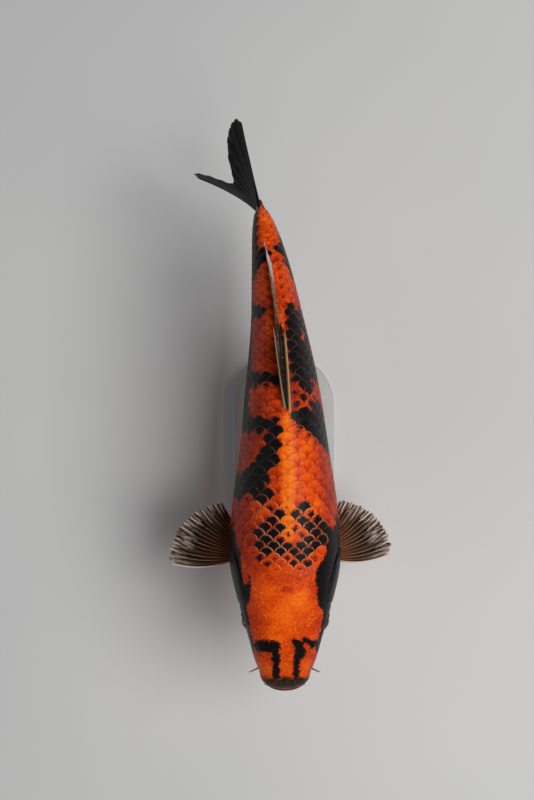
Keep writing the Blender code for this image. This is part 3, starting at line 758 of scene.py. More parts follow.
def sheet_quads(rows, columns):
    """Quads over a sheet of points, row by row, and the points of its border in order."""
    grid = np.arange(rows * columns).reshape(rows, columns)
    quads = np.stack([grid[:-1, :-1], grid[:-1, 1:], grid[1:, 1:], grid[1:, :-1]], axis=-1).reshape(-1, 4)
    border = np.concatenate([grid[:-1, 0], grid[-1, :-1], grid[:0:-1, -1], grid[0, :0:-1]])
    return quads, border


def make_scale():
    """One scale lying flat: unit pitch long and unit spacing wide, with its heights in millimetres."""
    turns = np.sin(np.linspace(-math.pi / 2, math.pi / 2, 9))
    shares = np.array([0.0, 0.42, 0.68, 0.84, 0.94, 1.0])
    x = SCALE_FRONT + (SCALE_REAR * np.sqrt(1 - turns**2)[None, :] - SCALE_FRONT) * shares[:, None]
    y = SCALE_HALF_WIDTH * turns[None, :] * (0.82 + 0.18 * ease(x, SCALE_FRONT, -0.2))
    lift = FRONT_HEIGHT + (REAR_HEIGHT - FRONT_HEIGHT) * (x - SCALE_FRONT) / (SCALE_REAR - SCALE_FRONT)
    crown = 0.05 * (1 - turns[None, :] ** 2) * (1 - 0.6 * ease(x, 0.3, SCALE_REAR))
    from_edge = SCALE_REAR * (1 - np.hypot(np.maximum(x, 0) / SCALE_REAR, y / SCALE_HALF_WIDTH))
    top = np.stack([x, y, lift + crown - 0.10 * (1 - ease(from_edge, 0, 0.06))], axis=-1).reshape(-1, 3)
    quads, border = sheet_quads(*from_edge.shape)
    quads = quads[:, [0, 3, 2, 1]]
    # The underside is a single face on the border's points, a scale's thickness down.
    below = len(top) + np.arange(len(border))
    rim = np.stack([np.roll(border, -1), border, below, np.roll(below, -1)], axis=-1)
    under = top[border] * [UNDERSIDE_INSET, UNDERSIDE_INSET, 1] - [0, 0, SCALE_THICKNESS]
    mesh = bpy.data.meshes.new("scale_shape")
    mesh.from_pydata(
        np.concatenate([top, under]).tolist(), [], quads.tolist() + [below[::-1].tolist()] + rim.tolist())
    mesh.shade_smooth()
    cell = np.stack([top[:, 0], top[:, 1], from_edge.ravel()], axis=-1)
    cell = np.concatenate([cell, cell[border]])
    write_values(mesh, {"cell": cell})
    # On the map the face fills most of the scale's own cell, and the underside lies beside it.
    corners = corner_points(mesh)
    share = (cell[corners, :2] - [SCALE_FRONT, 0]) / [SCALE_REAR - SCALE_FRONT, 2 * SCALE_HALF_WIDTH]
    on_face = np.arange(len(corners)) < quads.size
    across = np.where(
        on_face, FACE_MIDDLE + FACE_WIDTH * share[:, 1], UNDER_MIDDLE + UNDER_WIDTH * share[:, 1])
    write_map(mesh, "patch", np.stack([CELL_START + CELL_LENGTH * share[:, 0], across], axis=-1))
    return bpy.data.objects.new("scale_shape", mesh)


def row_arc(row, along):
    """How far round the body a row lies; on the nape the rows beside the ridge draw together."""
    row = np.abs(row)
    narrowing = NAPE_NARROWING * (1 - ease(along, *NAPE_END))
    return row * curve(SCALE_SPACING, along) - narrowing * NAPE_ROWS * np.tanh(row / NAPE_ROWS)


def row_spacing(row, along):
    """How far apart the rows are there."""
    narrowing = NAPE_NARROWING * (1 - ease(along, *NAPE_END))
    return curve(SCALE_SPACING, along) - narrowing / np.cosh(row / NAPE_ROWS) ** 2


def make_guide():
    """The surface that the scales are laid on, unrolled beside itself for the two flanks."""
    alongs = np.arange(*GUIDE_ALONG, GUIDE_STEP)
    angles = np.arange(*GUIDE_ANGLE, GUIDE_STEP)
    on_body = np.minimum(alongs, BODY_LENGTH)
    places = on_body[:, None] + 0 * angles
    arcs = arc_at(places, np.where(angles > 180, 360 - angles, angles)[None, :])
    arcs = np.where(angles[None, :] > 180, 2 * arc_at(places, 180.0) - arcs, arcs)
    quads = sheet_quads(*arcs.shape)[0]
    points, normals, maps, faces = [], [], [], []
    for side in (1, -1):
        net = body(places, side * angles[None, :], GUIDE_OUTSET)
        net[..., 1] += (alongs - on_body)[:, None]
        across = MAP_WIDTH / 4 - arcs if side > 0 else MAP_WIDTH * 3 / 4 + arcs
        faces.append((quads if side > 0 else quads[:, ::-1]) + sum(map(len, points)))
        points.append(net.reshape(-1, 3))
        normals.append((net_normals(net, False) * side).reshape(-1, 3))
        maps.append(np.stack([alongs[:, None] + 0 * across, across], axis=-1).reshape(-1, 2))
    unrolled = np.concatenate(maps) / [MAP_LENGTH, MAP_WIDTH] + [0, 0.5]
    guide = place_mesh("scale_guide", np.concatenate(points), np.concatenate(faces).tolist(), {
        "outward": np.concatenate(normals),
    })
    write_map(guide.data, "unroll", unrolled[corner_points(guide.data)])
    bpy.context.scene.collection.objects.unlink(guide)
    return guide


def coat_tree():
    """Sets a scale at each point of the flat layout, then bends the whole coat onto the guide."""
    tree, given, result = new_group("scale coat", {
        "Geometry": "Geometry", "Scale Shape": "Object", "Guide": "Object", "Unevenness": "Float",
        "Seed": "Int", "Material": "Material",
    }, {"Geometry": "Geometry"}, kind="Geometry")
    tree.is_modifier = True

    def told(label):
        made = node(tree, "GeometryNodeInputNamedAttribute", {"Name": label}, data_type="FLOAT_VECTOR")
        return made.outputs["Attribute"]

    def vectors(operation, *values):
        made = node(tree, "ShaderNodeVectorMath", dict(enumerate(values)), operation=operation)
        return made.outputs["Vector"]

    def shape_of(label):
        return node(tree, "GeometryNodeObjectInfo", {"Object": given[label]}).outputs["Geometry"]

    wobble = node(tree, "FunctionNodeRandomValue", {
        "Min": (-0.01, -0.01, -1.0), "Max": (0.01, 0.01, 1.0), "Seed": given["Seed"],
    }, data_type="FLOAT_VECTOR").outputs["Value"]
    laid = node(tree, "GeometryNodeInstanceOnPoints", {
        "Points": given["Geometry"], "Instance": shape_of("Scale Shape"), "Scale": told("size"),
        "Rotation": vectors("ADD", told("turn"), vectors("MULTIPLY", wobble, given["Unevenness"])),
    })
    coat = node(tree, "GeometryNodeRealizeInstances", {"Geometry": laid.outputs["Instances"]})
    place = node(tree, "GeometryNodeInputPosition").outputs["Position"]
    on_map = vectors("ADD", vectors("MULTIPLY", place, (1 / MAP_LENGTH, 1 / MAP_WIDTH, 0)), (0, 0.5, 0))
    where, outward = (
        node(tree, "GeometryNodeSampleUVSurface", {
            0: shape_of("Guide"), 1: value, 2: told("unroll"), 3: on_map,
        }, data_type="FLOAT_VECTOR").outputs[0]
        for value in (node(tree, "GeometryNodeInputPosition").outputs["Position"], told("outward"))
    )
    height = times(tree, node(tree, "ShaderNodeSeparateXYZ", {"Vector": place}).outputs["Z"], MM)
    rise = node(tree, "ShaderNodeVectorMath", {0: outward, "Scale": height}, operation="SCALE")
    coat = node(tree, "GeometryNodeSetPosition", {
        "Geometry": coat.outputs["Geometry"], "Position": vectors("ADD", where, rise.outputs["Vector"]),
    })
    coat = node(tree, "GeometryNodeSetMaterial", {
        "Geometry": coat.outputs["Geometry"], "Material": given["Material"],
    })
    feed(tree, coat.outputs["Geometry"], result["Geometry"])
    return tree


def row_of_scales(row, shift):
    """Along, arc, side, turn, row, spacing and whether it bears a pore, of each scale of a row."""
    fine = np.arange(ROW_START, ROW_END, ROW_STEP)
    counted = np.cumsum(ROW_STEP / curve(SCALE_LENGTH, fine))
    along = np.interp(np.arange(ROW_SCALES) + shift, counted, fine, right=np.nan)
    along = along[np.isfinite(along)]
    if row == BELLY_ROW:
        arc, spacing = arc_at(along, 180.0), curve(SCALE_SPACING, along)
        slope = (arc_at(along + 1, 180.0) - arc_at(along - 1, 180.0)) / 2
    else:
        arc, spacing = row_arc(row, along), row_spacing(row, along)
        slope = (row_arc(row, along + 1) - row_arc(row, along - 1)) / 2
    pore = np.abs(arc - arc_at(along, LATERAL_LINE)) < spacing * 0.5
    side = -1.0 if row < 0 else 1.0
    return np.stack([
        along, arc, side + 0 * along, -np.arctan(slope), row + 0 * along, spacing, pore * 1.0,
    ], axis=-1)


def within(values, ends):
    return (values > ends[0]) & (values < ends[1])


rows = [row_of_scales(row, 0.5 if row % 2 else 0.0) for row in range(-ROWS_EACH_SIDE, ROWS_EACH_SIDE + 1)]
layout = np.concatenate(rows + [row_of_scales(BELLY_ROW, 0.25)])
along, arc, row, spacing = layout[:, [0, 1, 4, 5]].T
angle = np.array([np.interp(v, ARCS[int(min(a, 482) / FORM_STEP)], FORM_ANGLE) for a, v in zip(along, arc)])
# The coat leaves out the head, the tail's end, and the roots of the back, anal and pectoral fins.
keep = along > line_at(SCALES_START, angle) + FRONT_CLEARANCE * curve(SCALE_LENGTH, along)
keep &= along < COAT_END
keep &= (row == BELLY_ROW) | (arc < arc_at(along, 180.0) - BELLY_CLEARANCE * spacing)
keep &= ~((row == 0) & within(along, BACK_FIN_GAP))
keep &= ~((row == BELLY_ROW) & within(along, ANAL_FIN_GAP))
keep &= ~(within(along, PECTORAL_GAP_ALONG) & within(angle, PECTORAL_GAP_ANGLE))
layout = layout[keep]

material, tree, shader = new_material("koi scales", coat=0.02, coat_roughness=0.15, specular=0.07)
cell = node(tree, "ShaderNodeSeparateXYZ", {"Vector": held(tree, "cell", "Vector")}).outputs
onward = maths(tree, "DIVIDE", maths(tree, "SUBTRACT", cell["X"], 0.05), 0.52)
aside = maths(tree, "DIVIDE", cell["Y"], 0.88)
radius = maths(tree, "SQRT", add(tree, times(tree, onward, onward), times(tree, aside, aside)))
# Black fills a scale from its middle outwards, the further the deeper the scale lies in a patch.
depth = maths(tree, "MINIMUM", times(tree, held(tree, "ink"), 1 / 6.0), held(tree, "fill"))
filled = add(tree, depth, maths(tree, "MULTIPLY_ADD", radius, -0.85, 0.54))
filled = add(tree, filled, ramp(tree, grain(tree, 2.4, 3, 0.62), 0.25, 0.75, -0.28, 0.28))
# A lateral line scale has a dark pit near its rear and a low tube that runs back to it.
pit = times(tree, ramp(tree, from_line(tree, cell["X"], 0.30), 0.11, 0.05),
            ramp(tree, from_line(tree, cell["Y"]), 0.09, 0.04), held(tree, "pore"))
black = maths(tree, "MAXIMUM", ramp(tree, filled, -0.16, 0.16), times(tree, pit, 0.8))
edge_band = add(tree, cell["Z"], uneven(tree, 1.6, -0.02, 0.02))
pale = times(tree, ramp(tree, edge_band, 0.11, 0.04), held(tree, "pale"),
             ramp(tree, grain(tree, 12, 3), 0.35, 0.62, 0.25, 1.15))
# Each scale's colour is darker at its front, where the scale ahead overlaps it. This is partly painted shade
# and partly its darker base pigment. It is a little brighter towards its rear edge, partly as a painted
# highlight.
bright = add(tree, held(tree, "glow"), ramp(tree, cell["X"], -0.50, 0.30, -0.38, 0.07))
mixed = node(tree, "ShaderNodeGroup", node_tree=pigment)
for label, value in (("Black", black), ("Glow", bright), ("Flank", held(tree, "flank")), ("Pale", pale)):
    feed(tree, value, mixed.inputs[label])
rings = maths(tree, "SINE", times(tree, radius, 44.0))
tube = times(tree, ramp(tree, from_line(tree, cell["Y"]), 0.10, 0.03), held(tree, "pore"),
             ramp(tree, from_line(tree, cell["X"], 0.05), 0.28, 0.20))
relief = add(tree, add(tree, mixed.outputs["Bump"], times(tree, rings, 0.10)), times(tree, tube, 1.6))
dress(tree, shader, mixed.outputs["Color"], mixed.outputs["Roughness"], relief, strength=0.30, depth=0.5)

scale_shape, guide, coat = make_scale(), make_guide(), coat_tree()
for number, (name, (start_along, end_along)) in enumerate(SCALE_PIECES.items()):
    chosen = (layout[:, 0] >= start_along) & (layout[:, 0] < end_along)
    along, arc, side, turn, row, spacing, pore = layout[chosen].T
    row_numbers = np.unique(row)
    mesh = bpy.data.meshes.new(name)
    up = np.where(side > 0, MAP_WIDTH / 4 - arc, MAP_WIDTH * 3 / 4 + arc)
    mesh.from_pydata(np.stack([along, up, 0 * along], axis=-1).tolist(), [], [])
    write_values(mesh, {
        "size": np.stack([curve(SCALE_LENGTH, along), spacing, np.ones_like(along)], axis=-1),
        "turn": np.stack([0 * along, 0 * along, turn * side], axis=-1),
        "root": np.stack([along, arc * side, np.searchsorted(row_numbers, row)], axis=-1),
        "pore": pore,
    })
    points = bpy.data.objects.new(name + "_points", mesh)
    bpy.context.scene.collection.objects.link(points)
    modifier = points.modifiers.new("coat", "NODES")
    modifier.node_group = coat
    sockets = {item.name: item.identifier for item in coat.interface.items_tree if item.in_out == "INPUT"}
    for label, value in (
        ("Scale Shape", scale_shape), ("Guide", guide), ("Unevenness", UNEVENNESS),
        ("Seed", FIRST_SEED + number), ("Material", material),
    ):
        modifier[sockets[label]] = value
    mesh = bpy.data.meshes.new_from_object(points.evaluated_get(bpy.context.evaluated_depsgraph_get()))
    mesh.name = name
    bpy.data.objects.remove(points)
    # Each point takes its markings from its scale's own place and, off the nape, partly from its own.
    told = {}
    for label in ("root", "cell", "size"):
        values = np.empty(len(mesh.vertices) * 3, np.float32)
        mesh.attributes[label].data.foreach_get("vector", values)
        told[label] = values.reshape(-1, 3)
    root_along, root_arc, root_row = told["root"].T
    spot_along = root_along + told["cell"][:, 0] * told["size"][:, 0]
    spot_arc = root_arc - told["cell"][:, 1] * told["size"][:, 1]
    nape = 1 - ease(root_along, *NAPE_NET_END)
    whole, spot = ink(root_along, root_arc), ink(spot_along, spot_arc)
    off_ridge = np.abs(root_arc)
    rims = 0.09 + 0.14 * hump(root_arc, 0, 30) + 0.7 * nape * (1 - ease(off_ridge, 34, 50))
    write_values(mesh, {
        "ink": whole + (spot - whole) * 0.6 * (1 - nape),
        "glow": glow(spot_along, spot_arc),
        "flank": off_ridge / arc_at(root_along, 180.0),
        "fill": 0.25 + 3.0 * (1 - nape * (1 - ease(off_ridge, 46, 56))),
        "pale": np.clip(rims, 0, 1),
    })
    # On the map each scale has a cell of its own, at its place along its row.
    corners = corner_points(mesh)
    share = np.empty(len(corners) * 2, np.float32)
    mesh.uv_layers["patch"].uv.foreach_get("vector", share)
    share = share.reshape(-1, 2)
    cell_along = root_along[corners] + (share[:, 0] - 0.5) * curve(SCALE_LENGTH, root_along[corners])
    map_length = end_along - start_along + PIECE_MAP_SPARE
    map_u = PIECE_MAP_START + (cell_along - start_along) / map_length
    map_v = (root_row[corners] + share[:, 1]) / len(row_numbers)
    write_map(mesh, "OFBake", np.stack([map_u, map_v], axis=-1))
    mesh.uv_layers.remove(mesh.uv_layers["patch"])
    piece = bpy.data.objects.new(name, mesh)
    bpy.context.scene.collection.objects.link(piece)
    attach(piece, "root")

# ---- The eyes --------------------------------------------------------------------------------------
# Glassy balls set deep in the sides of the head: a black pupil, a thin gold ring round it, and a dark
# brown, mottled iris. Each stands a little out of its opening.
SIDES = {"left": 1, "right": -1}
EYE_RADIUS = 7.9
EYE_RINGS, EYE_TURNS = 58, 72
PUPIL = 3.0


def middle_of(node_name):
    """The middle of a node's box, in millimetres."""
    low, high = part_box(node_name)
    return (np.array(low) + np.array(high)) / 2 / MM


material, tree, shader = new_material("koi eye", roughness=0.12, coat=1.0, coat_roughness=0.02)
from_axis = held(tree, "from_axis")
on_iris = node(tree, "ShaderNodeVectorMath", {0: on_piece(tree), 1: (0.0, 1.0, 1.0)}, operation="MULTIPLY")
mottle = grain(tree, 0.9, 4, 0.7, on_iris.outputs["Vector"])
wavy = add(tree, from_axis, ramp(tree, mottle, 0.3, 0.7, -0.16, 0.16))
ring = times(tree, ramp(tree, wavy, PUPIL, PUPIL + 0.2), ramp(tree, wavy, PUPIL + 1.0, PUPIL + 0.4))
iris = blend(tree, ramp(tree, mottle, 0.35, 0.7), (0.018, 0.010, 0.006), (0.115, 0.060, 0.022))
iris = blend(tree, ring, iris, (0.52, 0.30, 0.075))
iris = blend(tree, ramp(tree, from_axis, 4.6, 5.9), iris, (0.010, 0.007, 0.006))
pupil = ramp(tree, from_axis, PUPIL + 0.12, PUPIL - 0.06)
dress(tree, shader, blend(tree, pupil, iris, (0.0015, 0.0015, 0.0020)))
feed(tree, times(tree, ring, 0.45), shader.inputs["Metallic"])
for word, side in SIDES.items():
    # The ball's poles are its outer and inner ends, so that the rings of its net follow the iris.
    fall = np.linspace(0, math.pi, EYE_RINGS + 2)[1:-1, None]
    turn = np.arange(EYE_TURNS)[None, :] * (2 * math.pi / EYE_TURNS)
    radius = EYE_RADIUS * (1.0 - 0.012 * hump(fall, 0.42, 0.10))
    points = np.stack([
        side * radius * np.cos(fall) + 0 * turn, radius * np.sin(fall) * np.cos(turn),
        radius * np.sin(fall) * np.sin(turn),
    ], axis=-1).reshape(-1, 3)
    points = np.concatenate([[[side * EYE_RADIUS, 0, 0]], points, [[-side * EYE_RADIUS, 0, 0]]])
    inner_ring = 1 + (EYE_RINGS - 1) * EYE_TURNS
    faces = np.concatenate([
        fan(0, 1, EYE_TURNS), ring_quads(EYE_RINGS, EYE_TURNS, first=1)[:, [0, 3, 2, 1]],
        fan(len(points) - 1, inner_ring, EYE_TURNS)[:, ::-1],
    ])
    outer_half = points[:, 0] * side > 0
    eye = place_mesh(
        "eyeball_" + word, points + middle_of("eye_" + word), faces[:, ::side].tolist(),
        {"from_axis": np.where(outer_half, np.hypot(points[:, 1], points[:, 2]), EYE_RADIUS + 0.1)})
    eye.data.materials.append(material)
    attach(eye, "root")
    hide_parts("eye_" + word)

# ---- The barbels -----------------------------------------------------------------------------------
# Two pairs of soft feelers: a long one at each corner of the mouth and a short one on the upper lip.
# Those of the right are pale, those of the left dark.
BARBEL_RADIUS = 1.25
BARBEL_SUNK = 3.0
BARBEL_SAG = np.array([0, 0.12, -0.22])
BARBEL_TURNS = 16
# Each pair's along, angle, length and heading, and each side's tints at root and tip.
BARBELS = {
    "rear": (24.0, 131.0, 23.0, (0.74, -0.60, -0.20)),
    "front": (4.5, 114.0, 12.0, (0.55, -0.25, -0.80)),
}
BARBEL_TINTS = {
    "right": ((0.34, 0.15, 0.065), (0.62, 0.40, 0.24)),
    "left": ((0.035, 0.022, 0.018), (0.12, 0.075, 0.05)),
}
barbel_skins = {}
for word, (root_tint, tip_tint) in BARBEL_TINTS.items():
    material, tree, shader = new_material("barbel " + word, roughness=0.32, coat=0.3, coat_roughness=0.15)
    tint = blend(tree, ramp(tree, held(tree, "reach"), 0.1, 0.9), root_tint, tip_tint)
    spots = ramp(tree, grain(tree, 1.2, 3), 0.35, 0.7, 0.0, 0.35)
    dress(tree, shader, blend(tree, spots, tint, (0.10, 0.05, 0.03)), relief=grain(tree, 0.7), depth=0.3)
    barbel_skins[word] = material
for place, (along, angle, length, (outwards, backwards, upwards)) in BARBELS.items():
    for word, side in SIDES.items():
        heading = np.array([side * outwards, backwards, upwards])
        root = body(along, side * angle) - BARBEL_SUNK * heading
        t = np.concatenate([np.linspace(0, 0.97, 26), [0.985, 0.995]])[:, None]
        middle = root + length * (heading * t + BARBEL_SAG * t**2)
        thick = BARBEL_RADIUS * (1 - 0.52 * t) * (1 + 0.45 * hump(t, 0, 0.16))
        thick = thick * np.sqrt(np.clip((1 - t) / 0.03, 0.15, 1)) * (1 + 0.03 * np.sin(t * 60))
        ahead = unit(np.gradient(middle, axis=0))
        first = unit(np.cross(ahead, [0, 0, 1.0]))
        second = np.cross(ahead, first)
        turn = np.arange(BARBEL_TURNS)[None, :, None] * (2 * math.pi / BARBEL_TURNS)
        net = middle[:, None] + thick[:, None] * (
            first[:, None] * np.cos(turn) + second[:, None] * np.sin(turn))
        points = np.concatenate([net.reshape(-1, 3), [middle[0], root + length * (heading + BARBEL_SAG)]])
        faces = np.concatenate([
            ring_quads(len(t), BARBEL_TURNS), fan(len(points) - 2, 0, BARBEL_TURNS)[:, ::-1],
            fan(len(points) - 1, (len(t) - 1) * BARBEL_TURNS, BARBEL_TURNS),
        ])
        feeler = place_mesh(f"feeler_{place}_{word}", points, faces.tolist(), {
            "reach": np.concatenate([np.repeat(t[:, 0], BARBEL_TURNS), [0, 1]]),
        })
        feeler.data.materials.append(barbel_skins[word])
        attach(feeler, "root")
        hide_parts(f"barbel_{place}_{word}")

# ---- The pectoral fins -----------------------------------------------------------------------------
# Broad fans spread to either side behind the gills, pale rays on a dark web. Like every fin they are a thin
# web on bony rays that fork towards the margin, fleshy at the root, and they are rooted inside the skin.
FIN_SUNK = 5.0
WEB_HALF, RAY_RISE, LEADING_RISE, ROOT_RISE = 0.24, 0.24, 0.22, 1.1
RAY_COLUMNS = 12
WEB_MAP_START, WEB_MAP_LENGTH, WEB_MAP_WIDTH = 0.01, 0.47, 0.89
OTHER_FACE_SHIFT = 0.51
RIM_BAND = (0.93, 0.99)
PECTORAL_ROOT = ((131.0, 119.0), (144.0, 134.0))
PECTORAL_LENGTHS = (78.0, 50.0)
PECTORAL_FAN = 65.0
PECTORAL_RAYS, PECTORAL_ROWS = 18, 48
PECTORAL_POSE = {"left": (0.0, 24.0), "right": (6.0, 8.0)}


def fin_root(ends, k, side):
    """Where a side fin's rays start, inside the skin, on the line between two places of the body."""
    (along0, angle0), (along1, angle1) = ends
    return body(along0 + (along1 - along0) * k, side * (angle0 + (angle1 - angle0) * k), -FIN_SUNK)


def heading_of(turned, fall, side):
    """A direction turned back from straight out to the side, and falling."""
    level = np.cos(fall)
    return np.stack([side * np.cos(turned) * level, np.sin(turned) * level, -np.sin(fall)], axis=-1)


def bowed(t, amount):
    """How far a ray bows out between its root and its tip."""
    return (amount * 4 * t * (1 - t))[..., None]


def pectoral_sheet(word):
    """The web's middle, from the leading ray at k = 0 to the last at 1, and from root to margin with t."""
    forward, droop = PECTORAL_POSE[word]
    side = SIDES[word]

    def sheet(k, t):
        turned = np.radians(PECTORAL_FAN * k - forward)
        fall = np.radians(droop * (1 - 0.35 * k))
        first, last = PECTORAL_LENGTHS
        length = first - (first - last) * k**1.5 - 5.0 * np.exp(-10 * k)
        ahead, up = np.array([0, -1.0, 0]), np.array([0, 0, 1.0])
        return (fin_root(PECTORAL_ROOT, k, side) + heading_of(turned, fall, side) * (length * t)[..., None]
                + ahead * bowed(t, 6.5 * (1 - k)) + up * bowed(t, 4.0))
    return sheet


def fin_mesh(name, sheet, rays, rows, seed, pleat=0.5, notch=0.03, fringe=0.012):
    """A closed web over rays that fork twice; the map's left half is one face and its right the other."""
    k = np.linspace(0, 1, (rays - 1) * RAY_COLUMNS + 1)[:, None]
    t = np.linspace(0, 1, rows)[None, :]
    number = np.round(k * (rays - 1))
    c = k * (rays - 1) - number
    # The margin is notched between rays and between their forks, and each ray ends a little differently.
    tips = np.random.default_rng(seed).uniform(-1, 1, rays)[number.astype(int)]
    fray = 1 - hump(np.abs(c), 0.10, 0.045) - hump(np.abs(c), 0.24, 0.045)
    cut = (notch * (2.0 * c**2 + 0.5 * fray) + fringe * (1 + tips)) * ease(t, 0.5, 1)
    reach = t * (1 - cut)
    middle = sheet(*np.broadcast_arrays(k, reach))
    out = net_normals(middle, False)
    lengths = np.linalg.norm(np.diff(middle, axis=1), axis=-1)
    rise = np.concatenate([np.zeros((len(k), 1)), np.cumsum(lengths, axis=1)], axis=1)
    # Each ray is a jointed ridge that parts in two and in two again.
    fork, refork = 0.17 * ease(t, 0.38, 1.0), 0.07 * ease(t, 0.72, 1.05)
    narrow = 0.20 - 0.12 * ease(t, 0.0, 0.7)
    ridge = np.zeros(np.broadcast(c, t).shape)
    for one in (-1, 1):
        for two in (-1, 1):
            ridge = np.maximum(ridge, hump(c, one * fork + two * refork, narrow))
    joints = 1 + 0.05 * np.cos(reach * 190) * ease(t, 0.35, 0.6)
    fleshy = WEB_HALF + ROOT_RISE * (1 - t) ** 4
    half = fleshy + RAY_RISE * (1 - 0.45 * t) * ridge * joints
    half = half + LEADING_RISE * hump(k * (rays - 1), 0, 0.45) * (1 - t)
    half = np.minimum(half, fleshy + 0.5) * (1 - 0.45 * ease(t, 0.97, 1.0))
    middle = middle + out * (pleat * np.cos(math.pi * k * (rays - 1)) * ease(t, 0.1, 1))[..., None]
    points = np.stack([middle + out * half[..., None], middle - out * half[..., None]]).reshape(-1, 3)
    face, border = sheet_quads(*half.shape)
    onward = np.roll(border, -1)
    rim = np.stack([border, onward, onward + half.size, border + half.size], axis=-1)
    quads = np.concatenate([face, face[:, ::-1] + half.size, rim])
    map_u = WEB_MAP_START + WEB_MAP_LENGTH * t + 0 * k
    map_v = WEB_MAP_START + WEB_MAP_WIDTH * k + 0 * t
    map_front = np.stack([map_u, map_v], axis=-1).reshape(-1, 2)
    map_faces = np.concatenate([map_front, map_front + [OTHER_FACE_SHIFT, 0]])[quads[:2 * len(face)]]
    strip = np.arange(len(border)) / len(border)
    step = 1 / len(border)
    rim_u = np.stack([strip, strip + step, strip + step, strip], axis=-1)
    map_rim = np.stack([rim_u, np.broadcast_to(np.repeat(RIM_BAND, 2), rim_u.shape)], axis=-1)
    corners = np.concatenate([map_faces.reshape(-1, 2), map_rim.reshape(-1, 2)])
    values = {"ray": ridge, "out": t + 0 * k, "across": k + 0 * t, "number": number + 0 * t,
              "rise": rise - FIN_SUNK}
    twice = {label: np.tile(value.ravel(), 2) for label, value in values.items()}
    return place_mesh(name, points, quads.tolist(), twice, lambda mesh: corners)


def web_group():
    """Rays and web of a fin, running from the fleshy root to the thin margin."""
    tree, given, result = new_group("fin web", {
        "Ray Tint": "Color", "Web Tint": "Color", "Root Tint": "Color", "Margin Tint": "Color",
        "Root Reach": "Float", "Margin Start": "Float", "Ray Share": "Float", "Edge Share": "Float",
    }, COVER)
    out, across, number = held(tree, "out"), held(tree, "across"), held(tree, "number")
    lengthways = node(tree, "ShaderNodeCombineXYZ", {
        "X": times(tree, across, 34.0), "Y": times(tree, out, 2.2),
    })
    streaks = node(tree, "ShaderNodeTexNoise", {
        "Vector": lengthways.outputs["Vector"], "Scale": 1.0, "Detail": 3.0, "Roughness": 0.6,
    })
    wander = ramp(tree, streaks.outputs["Fac"], 0.34, 0.66, -0.26, 0.26)
    # Every ray has a strength of its own, and beside some of them the web pales towards the margin.
    strong, paler = (
        node(tree, "ShaderNodeTexWhiteNoise", {"W": value}, noise_dimensions="1D").outputs["Value"]
        for value in (number, add(tree, number, 40.5))
    )
    fine = grain(tree, 0.9, 3)
    ray = add(tree, held(tree, "ray"), ramp(tree, fine, 0.3, 0.7, -0.12, 0.12))
    on_ray = times(tree, ramp(tree, ray, 0.60, 0.92), given["Ray Share"], ramp(tree, strong, 0, 1, 0.26, 1.0))
    pale = times(tree, ramp(tree, paler, 0.66, 0.95, 0.0, 0.30), given["Ray Share"],
                 ramp(tree, out, 0.42, 0.85))
    colour = blend(tree, pale, given["Web Tint"], given["Ray Tint"])
    colour = blend(tree, on_ray, colour, given["Ray Tint"])
    margin = maths(tree, "SUBTRACT", add(tree, out, wander), given["Margin Start"])
    colour = blend(tree, ramp(tree, margin, 0.0, 0.22, 0.0, 0.85), colour, given["Margin Tint"])
    leading = times(tree, ramp(tree, across, 0.026, 0.014), given["Edge Share"])
    colour = blend(tree, leading, colour, given["Margin Tint"])
    root = add(tree, held(tree, "rise"), times(tree, wander, 20.0))
    root = maths(tree, "DIVIDE", root, given["Root Reach"])
    warm = times(tree, ramp(tree, root, 1.1, 0.1, 0.0, 0.92), ramp(tree, on_ray, 0.0, 0.6, 0.22, 1.0))
    feed(tree, blend(tree, warm, colour, given["Root Tint"]), result["Color"])
    feed(tree, ramp(tree, fine, 0.3, 0.7, 0.34, 0.50), result["Roughness"])
    feed(tree, times(tree, fine, 0.5), result["Bump"])
    return tree


web = web_group()


def fin_material(label, tints, shares, over=None):
    """A web's material from its tints and shares in the group's own order, and what lies over the web."""
    material, tree, shader = new_material(label, coat=0.01, coat_roughness=0.2, specular=0.06)
    mixed = node(tree, "ShaderNodeGroup", node_tree=web)
    for socket, value in zip(mixed.inputs, [(*tint, 1) for tint in tints] + list(shares)):
        socket.default_value = value
    colour = mixed.outputs["Color"]
    if over is not None:
        colour = over(tree, colour)
    dress(tree, shader, colour, mixed.outputs["Roughness"], mixed.outputs["Bump"])
    return material


striped = fin_material("striped fin", (
    (0.42, 0.275, 0.185), (0.005, 0.003, 0.0025), (0.36, 0.110, 0.020), (0.70, 0.57, 0.51),
), (44.0, 0.90, 1.0, 1.0))
for word, seed in (("left", 1), ("right", 2)):
    fin = fin_mesh("pectoral_web_" + word, pectoral_sheet(word), PECTORAL_RAYS, PECTORAL_ROWS, seed)
    fin.data.materials.append(striped)
    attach(fin, "root")
    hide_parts("pectoral_fin_" + word)

# ---- The pelvic fins -------------------------------------------------------------------------------
# A smaller pair of the same striped web under the belly, ahead of the middle of the back fin. They are
# held back and down.
PELVIC_ROOT = ((280.0, 152.0), (292.0, 163.0))
PELVIC_LENGTH = 56.0
PELVIC_RAYS, PELVIC_ROWS = 10, 34


def pelvic_sheet(side):
    """The web's middle, as for the pectoral fins."""
    def sheet(k, t):
        turned, fall = np.radians(70 + 22 * k), np.radians(36 - 12 * k)
        length = PELVIC_LENGTH * (0.94 + 0.3 * k - 0.62 * k**2)
        return fin_root(PELVIC_ROOT, k, side) + heading_of(turned, fall, side) * (length * t)[..., None]
    return sheet


for word, seed in (("left", 3), ("right", 4)):
    fin = fin_mesh("pelvic_web_" + word, pelvic_sheet(SIDES[word]), PELVIC_RAYS, PELVIC_ROWS, seed)
    fin.data.materials.append(striped)
    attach(fin, "root")
    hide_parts("pelvic_fin_" + word)

